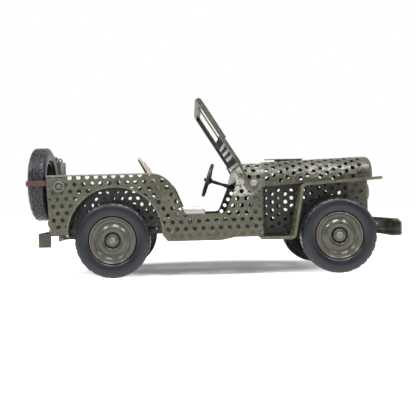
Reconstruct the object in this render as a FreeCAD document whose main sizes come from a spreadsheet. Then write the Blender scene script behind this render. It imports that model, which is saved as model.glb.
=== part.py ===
import FreeCAD, Part
import math
import os
import re
import Sketcher

# Model of an open army 4x4 car, made by hand from perforated sheet steel, at 1:10.
# Frame: +X forward, +Y to the car's left, +Z up, in millimetres. The origin is on the
# floor, under the middle of the overall length and width.

# Driving dimensions. Places along the car are given from an axle, heights from the floor.
SIZES = {
    # stance and running gear
    "wheelbase": 203.2,
    "rear_overhang": 76.2,
    "front_overhang": 56.5,
    "track": 124.0,
    "tyre_diameter": 67.8,
    "tyre_width": 16.4,
    "tread_width": 10.8,
    "tyre_shoulder_drop": 2.0,
    "tyre_shoulder_width": 1.2,
    "tyre_bead_gap": 0.1,
    "rim_diameter": 41.6,
    "rim_width": 12.0,
    "rim_wall": 1.1,
    "dish_depth": 1.6,
    "dish_radius": 15.0,
    "hub_groove_radius": 7.4,
    "hub_cap_radius": 5.6,
    "hub_cap_rise": 1.9,
    "spindle_diameter": 4.0,
    "running_fit": 0.06,
    "axle_tube_diameter": 5.0,
    "rear_tube_gap": 1.5,
    "spring_seat_length": 6.0,
    "differential_diameter": 18.0,
    "differential_width": 15.0,
    "kingpin_half_span": 48.0,
    "kingpin_diameter": 2.4,
    "yoke_height": 11.0,
    "yoke_width": 5.0,
    "yoke_plate": 1.8,
    "yoke_web": 1.0,
    "kingpin_boss_wall": 1.0,
    "knuckle_gap": 0.3,
    "steer_arm_length": 14.0,
    "steer_arm_width": 3.0,
    "steer_arm_thickness": 1.6,
    "tie_rod_diameter": 1.8,
    "tie_rod_drop": 3.2,
    # frame
    "rail_half_span": 34.0,
    "spring_gap": 2.5,
    "rail_width": 6.0,
    "rail_bottom": 37.6,
    "rail_height": 7.2,
    "rail_wall": 1.2,
    "rail_tail": 57.0,
    "rail_nose_back": 2.25,
    "crossmember_width": 7.0,
    "crossmember_tail_set": 0.2,
    "crossmember_rear": 30.0,
    "crossmember_middle": 105.0,
    "crossmember_front": 38.0,
    "crossmember_nose": 40.0,
    "tow_hole_diameter": 3.2,
    "spring_width": 5.0,
    "leaf": 1.6,
    "spring_seat_gap": 0.35,
    "spring_eye_radius": 1.9,
    "spring_pin_diameter": 1.6,
    "rear_spring_front": 38.6,
    "rear_spring_front_z": 42.8,
    "rear_spring_rear": 44.5,
    "rear_spring_rear_z": 36.8,
    "front_spring_reach": 41.0,
    "front_spring_z": 42.5,
    "shackle_lean": 2.5,
    "shackle_rise": 5.7,
    "shackle_plate": 0.9,
    "shackle_width": 2.6,
    # bumpers
    "bumper_bottom": 32.2,
    "bumper_height": 15.6,
    "bumper_depth": 7.9,
    "bumper_wall": 1.2,
    "bumper_chamfer": 1.7,
    "bumper_fold_inside": 0.5,
    "bumper_half_width": 66.0,
    "bumperette_bottom": 29.0,
    "bumperette_height": 12.5,
    "bumperette_rear": 66.5,
    "bumperette_front": 54.5,
    "bumperette_half_width": 70.0,
    "bumperette_bend": 4.0,
    # tub
    "sheet": 1.0,
    "fit": 0.1,
    "seam_gap": 0.05,
    "overcut": 1.0,
    "hole_diameter": 4.0,
    "hole_pitch": 7.8,
    "hole_row": 6.26,
    "hole_margin": 1.2,
    "hole_tilt": 1.2,
    "hole_first_back": 36.4,
    "hole_first_drop": 2.5,
    "hem": 1.3,
    "hem_rise": 0.3,
    "hem_lap": 1.82,
    "corner_round": 5.0,
    "tail_round": 1.5,
    "body_half_width": 72.0,
    "tub_top": 93.3,
    "tub_rear": 57.7,
    "tub_rake": 2.8,
    "tub_tail_z": 40.0,
    "arch_radius": 42.0,
    "arch_forward": 3.0,
    "arch_centre_z": 39.3,
    "sill_bottom": 32.2,
    "sill_rear": 49.7,
    "sill_rear_slope": 6.7,
    "sill_rear_round": 2.5,
    "sill_kick_start": 98.0,
    "sill_kick_end": 110.0,
    "sill_kick_rise": 2.5,
    "sill_top": 56.2,
    "door_rear_top": 50.55,
    "door_rear_bottom": 65.7,
    "door_front_bottom": 101.4,
    "door_round_top": 24.0,
    "door_round_bottom": 3.0,
    "door_round_front": 5.0,
    "cowl_front": 137.0,
    "cowl_seam_x": 110.4,
    "cowl_seam_z": 78.4,
    "cowl_top": 100.5,
    "cowl_top_rear": 116.6,
    "cowl_round": 17.0,
    "lip_reach": 5.0,
    "floor_z": 45.0,
    "wheelhouse_inner": 49.0,
    "dash_x": 117.5,
    "dash_bottom": 82.0,
    # hood, grille and fenders
    "hood_shoulder": 10.0,
    "hood_front_half_width": 44.3,
    "hood_rear_top": 102.0,
    "hood_front_top": 106.3,
    "hood_rear_bottom": 79.3,
    "hood_front_bottom": 85.3,
    "hood_round": 16.5,
    "hood_front": 37.8,
    "hood_nose_round": 5.0,
    "hood_strip_start": 8.0,
    "hood_strip_length": 38.0,
    "hood_strip_width": 5.0,
    "hood_strip_gap": 0.15,
    "engine_side": 43.0,
    "engine_side_bottom": 40.0,
    "engine_side_rise": 1.0,
    "engine_side_drop": 2.0,
    "grille_x": 32.8,
    "grille_return": 19.0,
    "grille_round": 3.0,
    "grille_bottom": 48.0,
    "headlamp_spread": 30.0,
    "headlamp_z": 72.5,
    "headlamp_diameter": 16.0,
    "headlamp_rise": 2.2,
    "lamp_bezel": 1.0,
    "fender_front": 37.2,
    "fender_front_z": 84.5,
    "fender_mid": 0.6,
    "fender_mid_z": 82.3,
    "fender_crest": 32.4,
    "fender_crest_z": 80.2,
    "fender_knee": 34.5,
    "fender_knee_z": 66.2,
    "fender_heel": 40.6,
    "fender_heel_z": 32.8,
    "fender_foot": 69.9,
    "fender_foot_z": 33.2,
    "fender_round_top": 5.0,
    "fender_round_bottom": 4.0,
    "fender_edge": 2.6,
    "fender_edge_width": 1.2,
    # windscreen
    "pivot_x": 126.9,
    "pivot_z": 82.3,
    "screen_lean": 32.0,
    "screen_inset": 6.0,
    "screen_foot": 21.6,
    "screen_height": 92.0,
    "screen_round": 8.0,
    "post_width": 4.5,
    "post_depth": 3.1,
    "screen_panel_top": 53.3,
    "pane_frame_foot": 48.0,
    "pane_frame_width": 3.6,
    "pane_frame_depth": 1.3,
    "pane_divider": 3.4,
    "pane_frame_inset": 1.0,
    "pane_foot_rise": 2.0,
    "pane_top_drop": 1.0,
    "pane_round": 1.5,
    "pane_round_top": 2.5,
    "arm_width": 5.0,
    "arm_thickness": 1.2,
    "arm_gap": 0.85,
    "arm_bridge_height": 2.0,
    "bracket_thickness": 0.5,
    "bracket_radius": 8.2,
    "bracket_top": 3.6,
    "pivot_pin_diameter": 2.2,
    "pivot_cap_diameter": 6.2,
    "pivot_cap_rise": 1.4,
    "wiper_length": 28.0,
    "wiper_diameter": 0.9,
    "wiper_side": 33.0,
    # steering wheel
    "steering_side": 35.0,
    "steering_x": 89.4,
    "steering_z": 89.2,
    "steering_slope": 18.0,
    "steering_wheel_diameter": 36.0,
    "steering_rim_diameter": 2.4,
    "spoke_diameter": 1.6,
    "wheel_hub_diameter": 6.0,
    "wheel_hub_length": 6.5,
    "wheel_hub_back": 5.2,
    "shaft_diameter": 2.2,
    "shaft_length": 46.0,
    "column_diameter": 4.0,
    "column_start": 18.0,
    "column_end_gap": 1.0,
    "column_tab": 2.0,
    "column_tab_drop": 6.2,
    # seats
    "seat_side": 34.0,
    "seat_width": 40.0,
    "seat_front": 84.0,
    "seat_rear": 52.0,
    "seat_frame_top": 54.0,
    "seat_frame_round": 2.0,
    "seat_leg_set": 2.0,
    "cushion_height": 7.4,
    "cushion_gap": 0.3,
    "cushion_rear_gap": 5.0,
    "cushion_top_gap": 2.0,
    "cushion_overhang": 1.0,
    "cushion_side_gap": 0.5,
    "cushion_round_low": 1.0,
    "cushion_round_top": 2.4,
    "back_top_x": 23.6,
    "back_top_z": 106.6,
    "back_pad": 2.2,
    "back_start": 9.0,
    # load carried on the rear panel
    "spare_side": 38.0,
    "spare_z": 86.4,
    "spare_gap": 0.9,
    "strap_height": 4.6,
    "strap_thickness": 0.8,
    "strap_gap": 0.3,
    "strap_round": 4.0,
    "carrier_diameter": 9.0,
    "can_side": 26.0,
    "can_width": 34.0,
    "can_depth": 15.0,
    "can_bottom": 65.0,
    "can_height": 46.5,
    "can_round": 2.5,
    "can_gap": 1.0,
    "can_cap_diameter": 7.0,
    "can_cap_rise": 5.0,
    "can_grip_diameter": 1.6,
    "can_grip_spread": 3.6,
    "can_grip_rise": 3.2,
    "can_tray_lip": 7.0,
    "can_tray_gap": 0.2,
    "can_tray_seat_gap": 0.3,
    "can_tray_lap": 0.5,
    "lamp_side": 62.0,
    "lamp_z": 50.0,
    "lamp_diameter": 8.0,
    "lamp_rise": 2.4,
    "boss_back": 46.0,
    "boss_z": 83.0,
    "boss_diameter": 8.4,
    "boss_rise": 1.3,
}

# Sizes that follow from the driving dimensions.
DERIVED = {
    "spring_inner": "rail_half_span + spring_gap",
    "screen_half_width": "body_half_width - screen_inset",
    "hood_rear_half_width": "body_half_width - hood_shoulder",
    "rear_axle_x": "(rear_overhang - front_overhang - wheelbase) / 2",
    "front_axle_x": "rear_axle_x + wheelbase",
    "axle_z": "tyre_diameter / 2",
    "inner_half_width": "body_half_width - sheet - fit",
    "floor_top": "floor_z + sheet",
    "arch_x": "rear_axle_x + arch_forward",
    "tail_top_x": "rear_axle_x - tub_rear",
    "tail_slope": "tub_rake / (tub_top - tub_tail_z)",
    "tail_floor_x": "tail_top_x + tail_slope * (tub_top - floor_z)",
    "firewall_x": "rear_axle_x + cowl_front - sheet - fit",
    "screen_x": "rear_axle_x + pivot_x",
    "hood_rear_x": "rear_axle_x + cowl_front + fit",
    "hood_front_x": "front_axle_x + hood_front",
    "grille_front_x": "front_axle_x + grille_x",
    "rail_top": "rail_bottom + rail_height",
    "spindle_radius": "spindle_diameter / 2",
    "spring_seat_z": "axle_z + axle_tube_diameter / 2 + leaf / 2 + spring_seat_gap",
    "spare_face_x": "rear_axle_x - tub_rear - spare_gap",
    "spare_x": "spare_face_x - tyre_width / 2",
}

document = FreeCAD.newDocument("army_car_model")
sheet = document.addObject("Spreadsheet::Sheet", "Sizes")
for row, (name, value) in enumerate(SIZES.items(), start=1):
    sheet.set(f"A{row}", name)
    sheet.set(f"B{row}", str(value))
    sheet.setAlias(f"B{row}", name)
document.recompute()

WORD = re.compile(r"\b[a-z_]+\b")
PLANES = {"XY": "XY_Plane", "XZ": "XZ_Plane", "YZ": "YZ_Plane"}
DRILL_PROUD = 0.6
FACING = 0.99
LEAST_HOLE = 0.42
PLAIN_EDGES = ("Part::GeomLine", "Part::GeomCircle")
SAME_PLACE = 1e-4
LEAST_CUT = 1e-6
FORWARD = FreeCAD.Vector(1, 0, 0)
LEFT = FreeCAD.Vector(0, 1, 0)
UP = FreeCAD.Vector(0, 0, 1)
parts = []


def formula(text):
    """Write a size formula with every name pointing at its spreadsheet cell."""
    def place(match):
        word = match.group(0)
        if word in DERIVED:
            return "(" + formula(DERIVED[word]) + ")"
        if word in SIZES:
            return "Sizes." + word
        return word
    return WORD.sub(place, str(text))


def size(text):
    """Value of a size formula."""
    return float(sheet.evalExpression(formula(text)))


def bind(item, **sizes):
    """Tie properties of an object to size formulas."""
    for name, text in sizes.items():
        item.setExpression(name.replace("__", "."), formula(text))
    return item


def place(item, x="0", y="0", z="0"):
    """Tie an object's place to size formulas."""
    return bind(item, Placement__Base__x=x, Placement__Base__y=y, Placement__Base__z=z)


def turn(item, axis, angle):
    """Turn an object about an axis through its own origin, by a size formula in degrees."""
    item.Placement.Rotation = FreeCAD.Rotation(axis, size(angle))
    return bind(item, Placement__Rotation__Angle=angle)


def keep(item, label):
    """Name an object as one finished piece of the car."""
    item.Label = label
    parts.append(item)
    return item


def rounded(points, radii, closed):
    """Where each rounded corner starts, its middle and where it ends."""
    corners = []
    count = len(points)
    for index, corner in enumerate(points):
        inside = closed or 0 < index < count - 1
        if not radii[index] or not inside:
            corners.append(None)
            continue
        back = (points[index - 1] - corner).normalize()
        ahead = (points[(index + 1) % count] - corner).normalize()
        half = back.getAngle(ahead) / 2
        reach = radii[index] / math.tan(half)
        middle = FreeCAD.Vector(back + ahead).normalize()
        centre = corner + middle * (radii[index] / math.sin(half))
        corners.append((corner + back * reach, centre - middle * radii[index], corner + ahead * reach))
    return corners


def draw(sketch, outline, closed=True):
    """Draw an outline of straight lines and rounded corners, every corner tied to the sizes."""
    points = [FreeCAD.Vector(size(c[0]), size(c[1]), 0) for c in outline]
    radii = [size(c[2]) if len(c) > 2 else 0 for c in outline]
    corners = rounded(points, radii, closed)
    count = len(points)
    lines = []
    for index in range(count if closed else count - 1):
        after = (index + 1) % count
        start = corners[index][2] if corners[index] else points[index]
        end = corners[after][0] if corners[after] else points[after]
        lines.append(sketch.addGeometry(Part.LineSegment(start, end), False))
    for index, corner in enumerate(corners):
        before = lines[index - 1] if closed or index > 0 else None
        ahead = lines[index] if closed or index < count - 1 else None
        if corner:
            arc = sketch.addGeometry(Part.Arc(*corner), False)
            chord = corner[2] - corner[0]
            first = 1 if (corner[1] - corner[0]).cross(chord).z > 0 else 2
            sketch.addConstraint(Sketcher.Constraint("Tangent", before, 2, arc, first))
            sketch.addConstraint(Sketcher.Constraint("Tangent", ahead, 1, arc, 3 - first))
            radius = sketch.addConstraint(Sketcher.Constraint("Radius", arc, radii[index]))
            bind(sketch, **{f"Constraints[{radius}]": outline[index][2]})
            point = sketch.addGeometry(Part.Point(points[index]), True)
            sketch.addConstraint(Sketcher.Constraint("PointOnObject", point, 1, before))
            sketch.addConstraint(Sketcher.Constraint("PointOnObject", point, 1, ahead))
            held, end = point, 1
        else:
            if before is not None and ahead is not None:
                sketch.addConstraint(Sketcher.Constraint("Coincident", before, 2, ahead, 1))
            held, end = (ahead, 1) if ahead is not None else (before, 2)
        for kind, value, text in zip(("DistanceX", "DistanceY"), points[index][:2], outline[index]):
            number = sketch.addConstraint(Sketcher.Constraint(kind, -1, 1, held, end, value))
            bind(sketch, **{f"Constraints[{number}]": text})


def drawn(body, plane, outline, offset="0"):
    """A sketch on one of a body's own origin planes, moved along the plane's normal."""
    sketch = body.newObject("Sketcher::SketchObject", body.Name + "_outline")
    origin = [item for item in body.Origin.OriginFeatures if item.Role == PLANES[plane]][0]
    sketch.AttachmentSupport = [(origin, "")]
    sketch.MapMode = "FlatFace"
    bind(sketch, AttachmentOffset__Base__z=offset)
    draw(sketch, outline)
    return sketch


def plate(name, plane, outline, offset, thickness, middle=False):
    """A flat piece: an outline padded along its plane's normal (XZ pads towards -Y)."""
    body = document.addObject("PartDesign::Body", name)
    sketch = drawn(body, plane, outline, offset)
    pad = body.newObject("PartDesign::Pad", name + "_pad")
    pad.Profile = sketch
    pad.Midplane = middle
    bind(pad, Length=thickness)
    document.recompute()
    return body


def pocket(body, plane, outline, offset, depth, backwards=False):
    """Cut an outline out of a body along its plane's normal."""
    sketch = drawn(body, plane, outline, offset)
    before = body.Shape.Volume
    cut = body.newObject("PartDesign::Pocket", body.Name + "_pocket")
    cut.Profile = sketch
    cut.Reversed = backwards
    bind(cut, Length=depth)
    document.recompute()
    if body.Shape.Volume > before - LEAST_CUT:
        raise ValueError(f"the pocket in {body.Name} removes nothing")
    return body


def turned(name, outline):
    """A turned piece: an outline of (radius, place along Y) spun round the Y axis."""
    body = document.addObject("PartDesign::Body", name)
    sketch = drawn(body, "XY", outline)
    spin = body.newObject("PartDesign::Revolution", name + "_spin")
    spin.Profile = sketch
    spin.ReferenceAxis = (sketch, ["V_Axis"])
    spin.Angle = 360
    document.recompute()
    return body


def bent(name, outline, thickness, start, width):
    """Sheet bent along a centre line in the XZ plane, from y = start over a width towards +Y."""
    line = document.addObject("Sketcher::SketchObject", name + "_line")
    line.Placement = FreeCAD.Placement(FreeCAD.Vector(), FreeCAD.Rotation(FreeCAD.Vector(1, 0, 0), 90))
    bind(line, Placement__Base__y=start)
    draw(line, outline, closed=False)
    wall = document.addObject("Part::Offset2D", name + "_wall")
    wall.Source = line
    wall.Fill = True
    bind(wall, Value=f"({thickness}) / 2")
    other = document.addObject("Part::Offset2D", name + "_wall_back")
    other.Source = line
    other.Fill = True
    bind(other, Value=f"-({thickness}) / 2")
    halves = []
    for half in (wall, other):
        solid = document.addObject("Part::Extrusion", half.Name + "_bent")
        solid.Base = half
        solid.DirMode = "Custom"
        solid.Dir = FreeCAD.Vector(0, 1, 0)
        solid.Solid = True
        bind(solid, LengthFwd=width)
        halves.append(solid)
    return fuse(name, halves)


def box(name, low, high):
    """A block between two corners."""
    block = document.addObject("Part::Box", name)
    bind(block, Length=f"({high[0]}) - ({low[0]})", Width=f"({high[1]}) - ({low[1]})")
    bind(block, Height=f"({high[2]}) - ({low[2]})")
    return place(block, *low)


ROD_TURNS = {
    "X": (FreeCAD.Vector(0, 1, 0), 90),
    "Y": (FreeCAD.Vector(1, 0, 0), -90),
    "Z": (FreeCAD.Vector(0, 0, 1), 0),
}


def rod(name, axis, radius, start, length):
    """A round bar along an axis of the car, from a start point."""
    bar = document.addObject("Part::Cylinder", name)
    bar.Placement.Rotation = FreeCAD.Rotation(*ROD_TURNS[axis])
    bind(bar, Radius=radius, Height=length)
    return place(bar, *start)


def fuse(name, shapes):
    """Several shapes joined into one."""
    joined = document.addObject("Part::MultiFuse", name)
    joined.Shapes = shapes
    joined.Refine = True
    return joined


def cut(name, base, tool):
    """One shape less another."""
    piece = document.addObject("Part::Cut", name)
    piece.Base = base
    piece.Tool = tool
    return piece


def together(name, items):
    """Separate like pieces that share one node."""
    group = document.addObject("Part::Compound", name)
    group.Links = items
    return group


def mirrored(name, item):
    """The same piece on the car's other side."""
    other = document.addObject("Part::Mirroring", name)
    other.Source = item
    other.Normal = FreeCAD.Vector(0, 1, 0)
    return other


def both_sides(label, item):
    """A right-hand piece and its mirror image, kept as two pieces."""
    keep(item, label + "_right")
    keep(mirrored(label + "_left_mirror", item), label + "_left")


def pair(label, item):
    """A right-hand piece and its mirror image, kept as one node of two solids."""
    keep(together(label + "_pair", [item, mirrored(label + "_other", item)]), label)


def solid_of(name, shape):
    """A piece whose shape is worked out from the sizes."""
    item = document.addObject("Part::Feature", name)
    item.Shape = shape
    return item


def hole_spots(first, across, up, reach):
    """Centres of the sheet's staggered holes round a first one, out to a distance on every side."""
    pitch = size("hole_pitch")
    row = size("hole_row")
    rows = range(-int(reach / row) - 1, int(reach / row) + 2)
    columns = range(-int(reach / pitch) - 1, int(reach / pitch) + 2)
    return [first + across * (pitch * (c + r % 2 / 2)) + up * (row * r) for r in rows for c in columns]


def drill(point, outward):
    """A round block through the sheet, from a point on its outer face."""
    depth = size("sheet") + 2 * DRILL_PROUD
    return Part.makeCylinder(size("hole_diameter / 2"), depth, point + outward * DRILL_PROUD, outward * -1)


def wall_facing(shape, outward):
    """The largest flat face of a piece that faces a direction."""
    walls = [face for face in shape.Faces if face.Surface.TypeId == "Part::GeomPlane"
             and face.normalAt(0, 0).dot(outward) > FACING]
    return max(walls, key=lambda face: face.Area)


def wall_holes(wall, across, first):
    """Round blocks through one flat wall in staggered rows, clipped where they come near its edges."""
    outward = wall.normalAt(0, 0)
    across = (across - outward * across.dot(outward)).normalize()
    first = first - outward * (first - wall.Vertexes[0].Point).dot(outward)
    field = wall.makeOffset2D(-size("hole_margin"))
    radius = size("hole_diameter / 2")
    whole = math.pi * radius ** 2
    depth = size("sheet") + 2 * DRILL_PROUD
    near = field.BoundBox
    near.enlarge(radius)
    blocks = []
    for spot in hole_spots(first, across, outward.cross(across), wall.BoundBox.DiagonalLength):
        if not near.isInside(spot):
            continue
        disc = Part.Face(Part.Wire(Part.makeCircle(radius, spot, outward)))
        for part in field.common(disc).Faces:
            plain = all(edge.Curve.TypeId in PLAIN_EDGES for edge in part.Edges)
            if plain and part.Area > LEAST_HOLE * whole:
                part.translate(outward * DRILL_PROUD)
                blocks.append(part.extrude(outward * -depth))
    return blocks


def punch(name, item, blocks):
    """A piece with round blocks cut out of it."""
    document.recompute()
    before = item.Shape.Volume
    piece = cut(name, item, solid_of(name + "_holes", Part.Compound(blocks)))
    document.recompute()
    if piece.Shape.Volume > before - LEAST_CUT:
        raise ValueError(f"the holes in {name} remove nothing")
    return piece


def punched(name, item, directions, turned=False):
    """A piece with the staggered holes in each of its flat walls that face the given directions."""
    document.recompute()
    blocks = []
    for outward in directions:
        wall = wall_facing(item.Shape, outward)
        level = UP.cross(outward)
        if level.Length < 1 - FACING:
            level = FORWARD
        if turned:
            level = outward.cross(level)
        blocks += wall_holes(wall, level, wall.CenterOfMass)
    return punch(name, item, blocks)


def wheels():
    """Rims and tyres, turned about the wheel centre with +Y as the outer side."""
    half_rim = "rim_width / 2"
    rim_edge = "rim_diameter / 2"
    bore = "spindle_radius + running_fit"
    rim_outline = [
        (bore, f"-{half_rim}"),
        ("hub_groove_radius", f"-{half_rim}"),
        ("hub_groove_radius", f"-{half_rim} + 4 * rim_wall"),
        (f"{rim_edge} - 2 * rim_wall", f"-{half_rim} + 4 * rim_wall"),
        (f"{rim_edge} - rim_wall", f"-{half_rim}"),
        (rim_edge, f"-{half_rim}"),
        (rim_edge, f"{half_rim} + rim_wall"),
        (f"{rim_edge} - rim_wall", f"{half_rim} + rim_wall"),
        (f"{rim_edge} - 2 * rim_wall", f"{half_rim} - 1.5 * rim_wall"),
        ("dish_radius", f"{half_rim} - 0.3 * dish_depth"),
        ("hub_groove_radius + dish_depth", f"{half_rim} - 0.6 * dish_depth"),
        ("hub_groove_radius", f"{half_rim} - 2 * dish_depth"),
        ("hub_cap_radius", f"{half_rim} - 2 * dish_depth"),
        ("hub_cap_radius", f"{half_rim} - dish_depth + hub_cap_rise"),
        ("hub_cap_radius - rim_wall", f"{half_rim} + hub_cap_rise"),
        ("0", f"{half_rim} + hub_cap_rise"),
        ("0", f"{half_rim} - rim_wall"),
        (bore, f"{half_rim} - rim_wall"),
    ]
    half_tyre = "tyre_width / 2"
    tyre_outline = [
        ("rim_diameter / 2 + tyre_bead_gap", f"-{half_rim} + rim_wall"),
        ("(rim_diameter + tyre_diameter) / 4", f"-{half_tyre}"),
        ("tyre_diameter / 2 - tyre_shoulder_drop", "-tread_width / 2 - tyre_shoulder_width"),
        ("tyre_diameter / 2", "-tread_width / 2"),
        ("tyre_diameter / 2", "tread_width / 2"),
        ("tyre_diameter / 2 - tyre_shoulder_drop", "tread_width / 2 + tyre_shoulder_width"),
        ("(rim_diameter + tyre_diameter) / 4", half_tyre),
        ("rim_diameter / 2 + tyre_bead_gap", f"{half_rim} - rim_wall"),
    ]
    for end in ("front", "rear"):
        for side, sign in (("right", -1), ("left", 1)):
            for kind, outline in (("rim", rim_outline), ("tyre", tyre_outline)):
                outward = [(r, y if sign > 0 else f"-({y})") for r, y in outline]
                piece = turned(f"{end}_{kind}_{side}_turned", outward)
                place(piece, f"{end}_axle_x", f"{sign} * track / 2", "axle_z")
                keep(piece, f"{end}_{kind}_{side}")
    for kind, outline in (("rim", rim_outline), ("tyre", tyre_outline)):
        spare = turned(f"spare_{kind}_turned", outline)
        spare.Placement.Rotation = FreeCAD.Rotation(FreeCAD.Vector(0, 0, 1), 90)
        place(spare, "spare_x", "-spare_side", "spare_z")
        keep(spare, f"spare_{kind}")


def axles():
    """Both axle beams with their differentials, the steering knuckles and the tie rod."""
    tube = "axle_tube_diameter / 2"
    stub = "track / 2 + rim_width / 2 - rim_wall - running_fit - fit"
    for end in ("front", "rear"):
        x = f"{end}_axle_x"
        reach = "kingpin_half_span - yoke_width / 2"
        if end == "rear":
            reach = "track / 2 - rim_width / 2 - rear_tube_gap"
        beam = rod(f"{end}_tube", "Y", tube, (x, f"-({reach})", "axle_z"), f"2 * ({reach})")
        case = document.addObject("Part::Ellipsoid", f"{end}_differential")
        bind(case, Radius1="differential_width / 2", Radius2="differential_diameter / 2")
        bind(case, Radius3="differential_diameter / 2")
        place(case, x, "0", "axle_z")
        case.Placement.Rotation = FreeCAD.Rotation(FreeCAD.Vector(1, 0, 0), 90)
        seats = []
        top = "axle_z + axle_tube_diameter / 2"
        for sign in (-1, 1):
            inner = "spring_inner" if sign > 0 else "-spring_inner - spring_width"
            outer = "spring_inner + spring_width" if sign > 0 else "-spring_inner"
            low = (f"{x} - spring_seat_length / 2", inner, "axle_z")
            high = (f"{x} + spring_seat_length / 2", outer, top)
            seats.append(box(f"{end}_seat_{sign + 1}", low, high))
        pieces = [beam, case] + seats
        if end == "rear":
            start = (x, f"-({stub})", "axle_z")
            pieces.append(rod("rear_spindles", "Y", "spindle_radius", start, f"2 * ({stub})"))
            keep(fuse("rear_axle_fused", pieces), "rear_axle")
            continue
        for sign in (-1, 1):
            y = f"{sign} * kingpin_half_span"
            for level in (-1, 1):
                low = "axle_z - yoke_height / 2" if level < 0 else "axle_z + yoke_height / 2 - yoke_plate"
                pieces.append(box(f"yoke_plate_{sign + 1}_{level + 1}",
                                  (f"{x} - yoke_width / 2", f"{y} - yoke_width / 2", low),
                                  (f"{x} + yoke_width / 2", f"{y} + yoke_width / 2", f"{low} + yoke_plate")))
            near = f"{y} - yoke_width / 2 - yoke_web" if sign > 0 else f"{y} + yoke_width / 2"
            pieces.append(box(f"yoke_web_{sign + 1}",
                              (f"{x} - yoke_width / 2", near, "axle_z - yoke_height / 2"),
                              (f"{x} + yoke_width / 2", f"{near} + yoke_web", "axle_z + yoke_height / 2")))
        beams = fuse("front_axle_fused", pieces)
        holes = []
        for sign in (-1, 1):
            holes.append(rod(f"kingpin_bore_{sign + 1}", "Z", "kingpin_diameter / 2 + running_fit",
                             (x, f"{sign} * kingpin_half_span", "axle_z - yoke_height"), "2 * yoke_height"))
        keep(cut("front_axle_bored", beams, together("kingpin_bores", holes)), "front_axle")
    x = "front_axle_x"
    y = "-kingpin_half_span"
    inner_height = "yoke_height - 2 * yoke_plate - 2 * knuckle_gap"
    pin = rod("kingpin", "Z", "kingpin_diameter / 2", (x, y, "axle_z - yoke_height / 2"), "yoke_height")
    arm_low = f"axle_z - ({inner_height}) / 2"
    boss_radius = "kingpin_diameter / 2 + kingpin_boss_wall"
    barrel = rod("knuckle_barrel", "Z", boss_radius, (x, y, arm_low), inner_height)
    start = (x, f"-({stub})", "axle_z")
    spindle = rod("knuckle_spindle", "Y", "spindle_radius", start, f"{stub} - kingpin_half_span")
    arm = box("steer_arm", (f"{x} - steer_arm_length", f"{y} - steer_arm_width / 2", arm_low),
              (x, f"{y} + steer_arm_width / 2", f"{arm_low} + steer_arm_thickness"))
    start = (f"{x} - steer_arm_length", y, arm_low)
    boss = rod("steer_arm_eye", "Z", "steer_arm_width / 2", start, "steer_arm_thickness")
    knuckle = fuse("knuckle_fused", [pin, barrel, spindle, arm, boss])
    both_sides("knuckle", knuckle)
    rod_x = f"{x} - steer_arm_length"
    rod_z = f"{arm_low} - tie_rod_diameter / 2 - fit"
    start = (rod_x, "-kingpin_half_span", rod_z)
    bar = rod("tie_bar", "Y", "tie_rod_diameter / 2", start, "2 * kingpin_half_span")
    keep(bar, "tie_rod")


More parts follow.
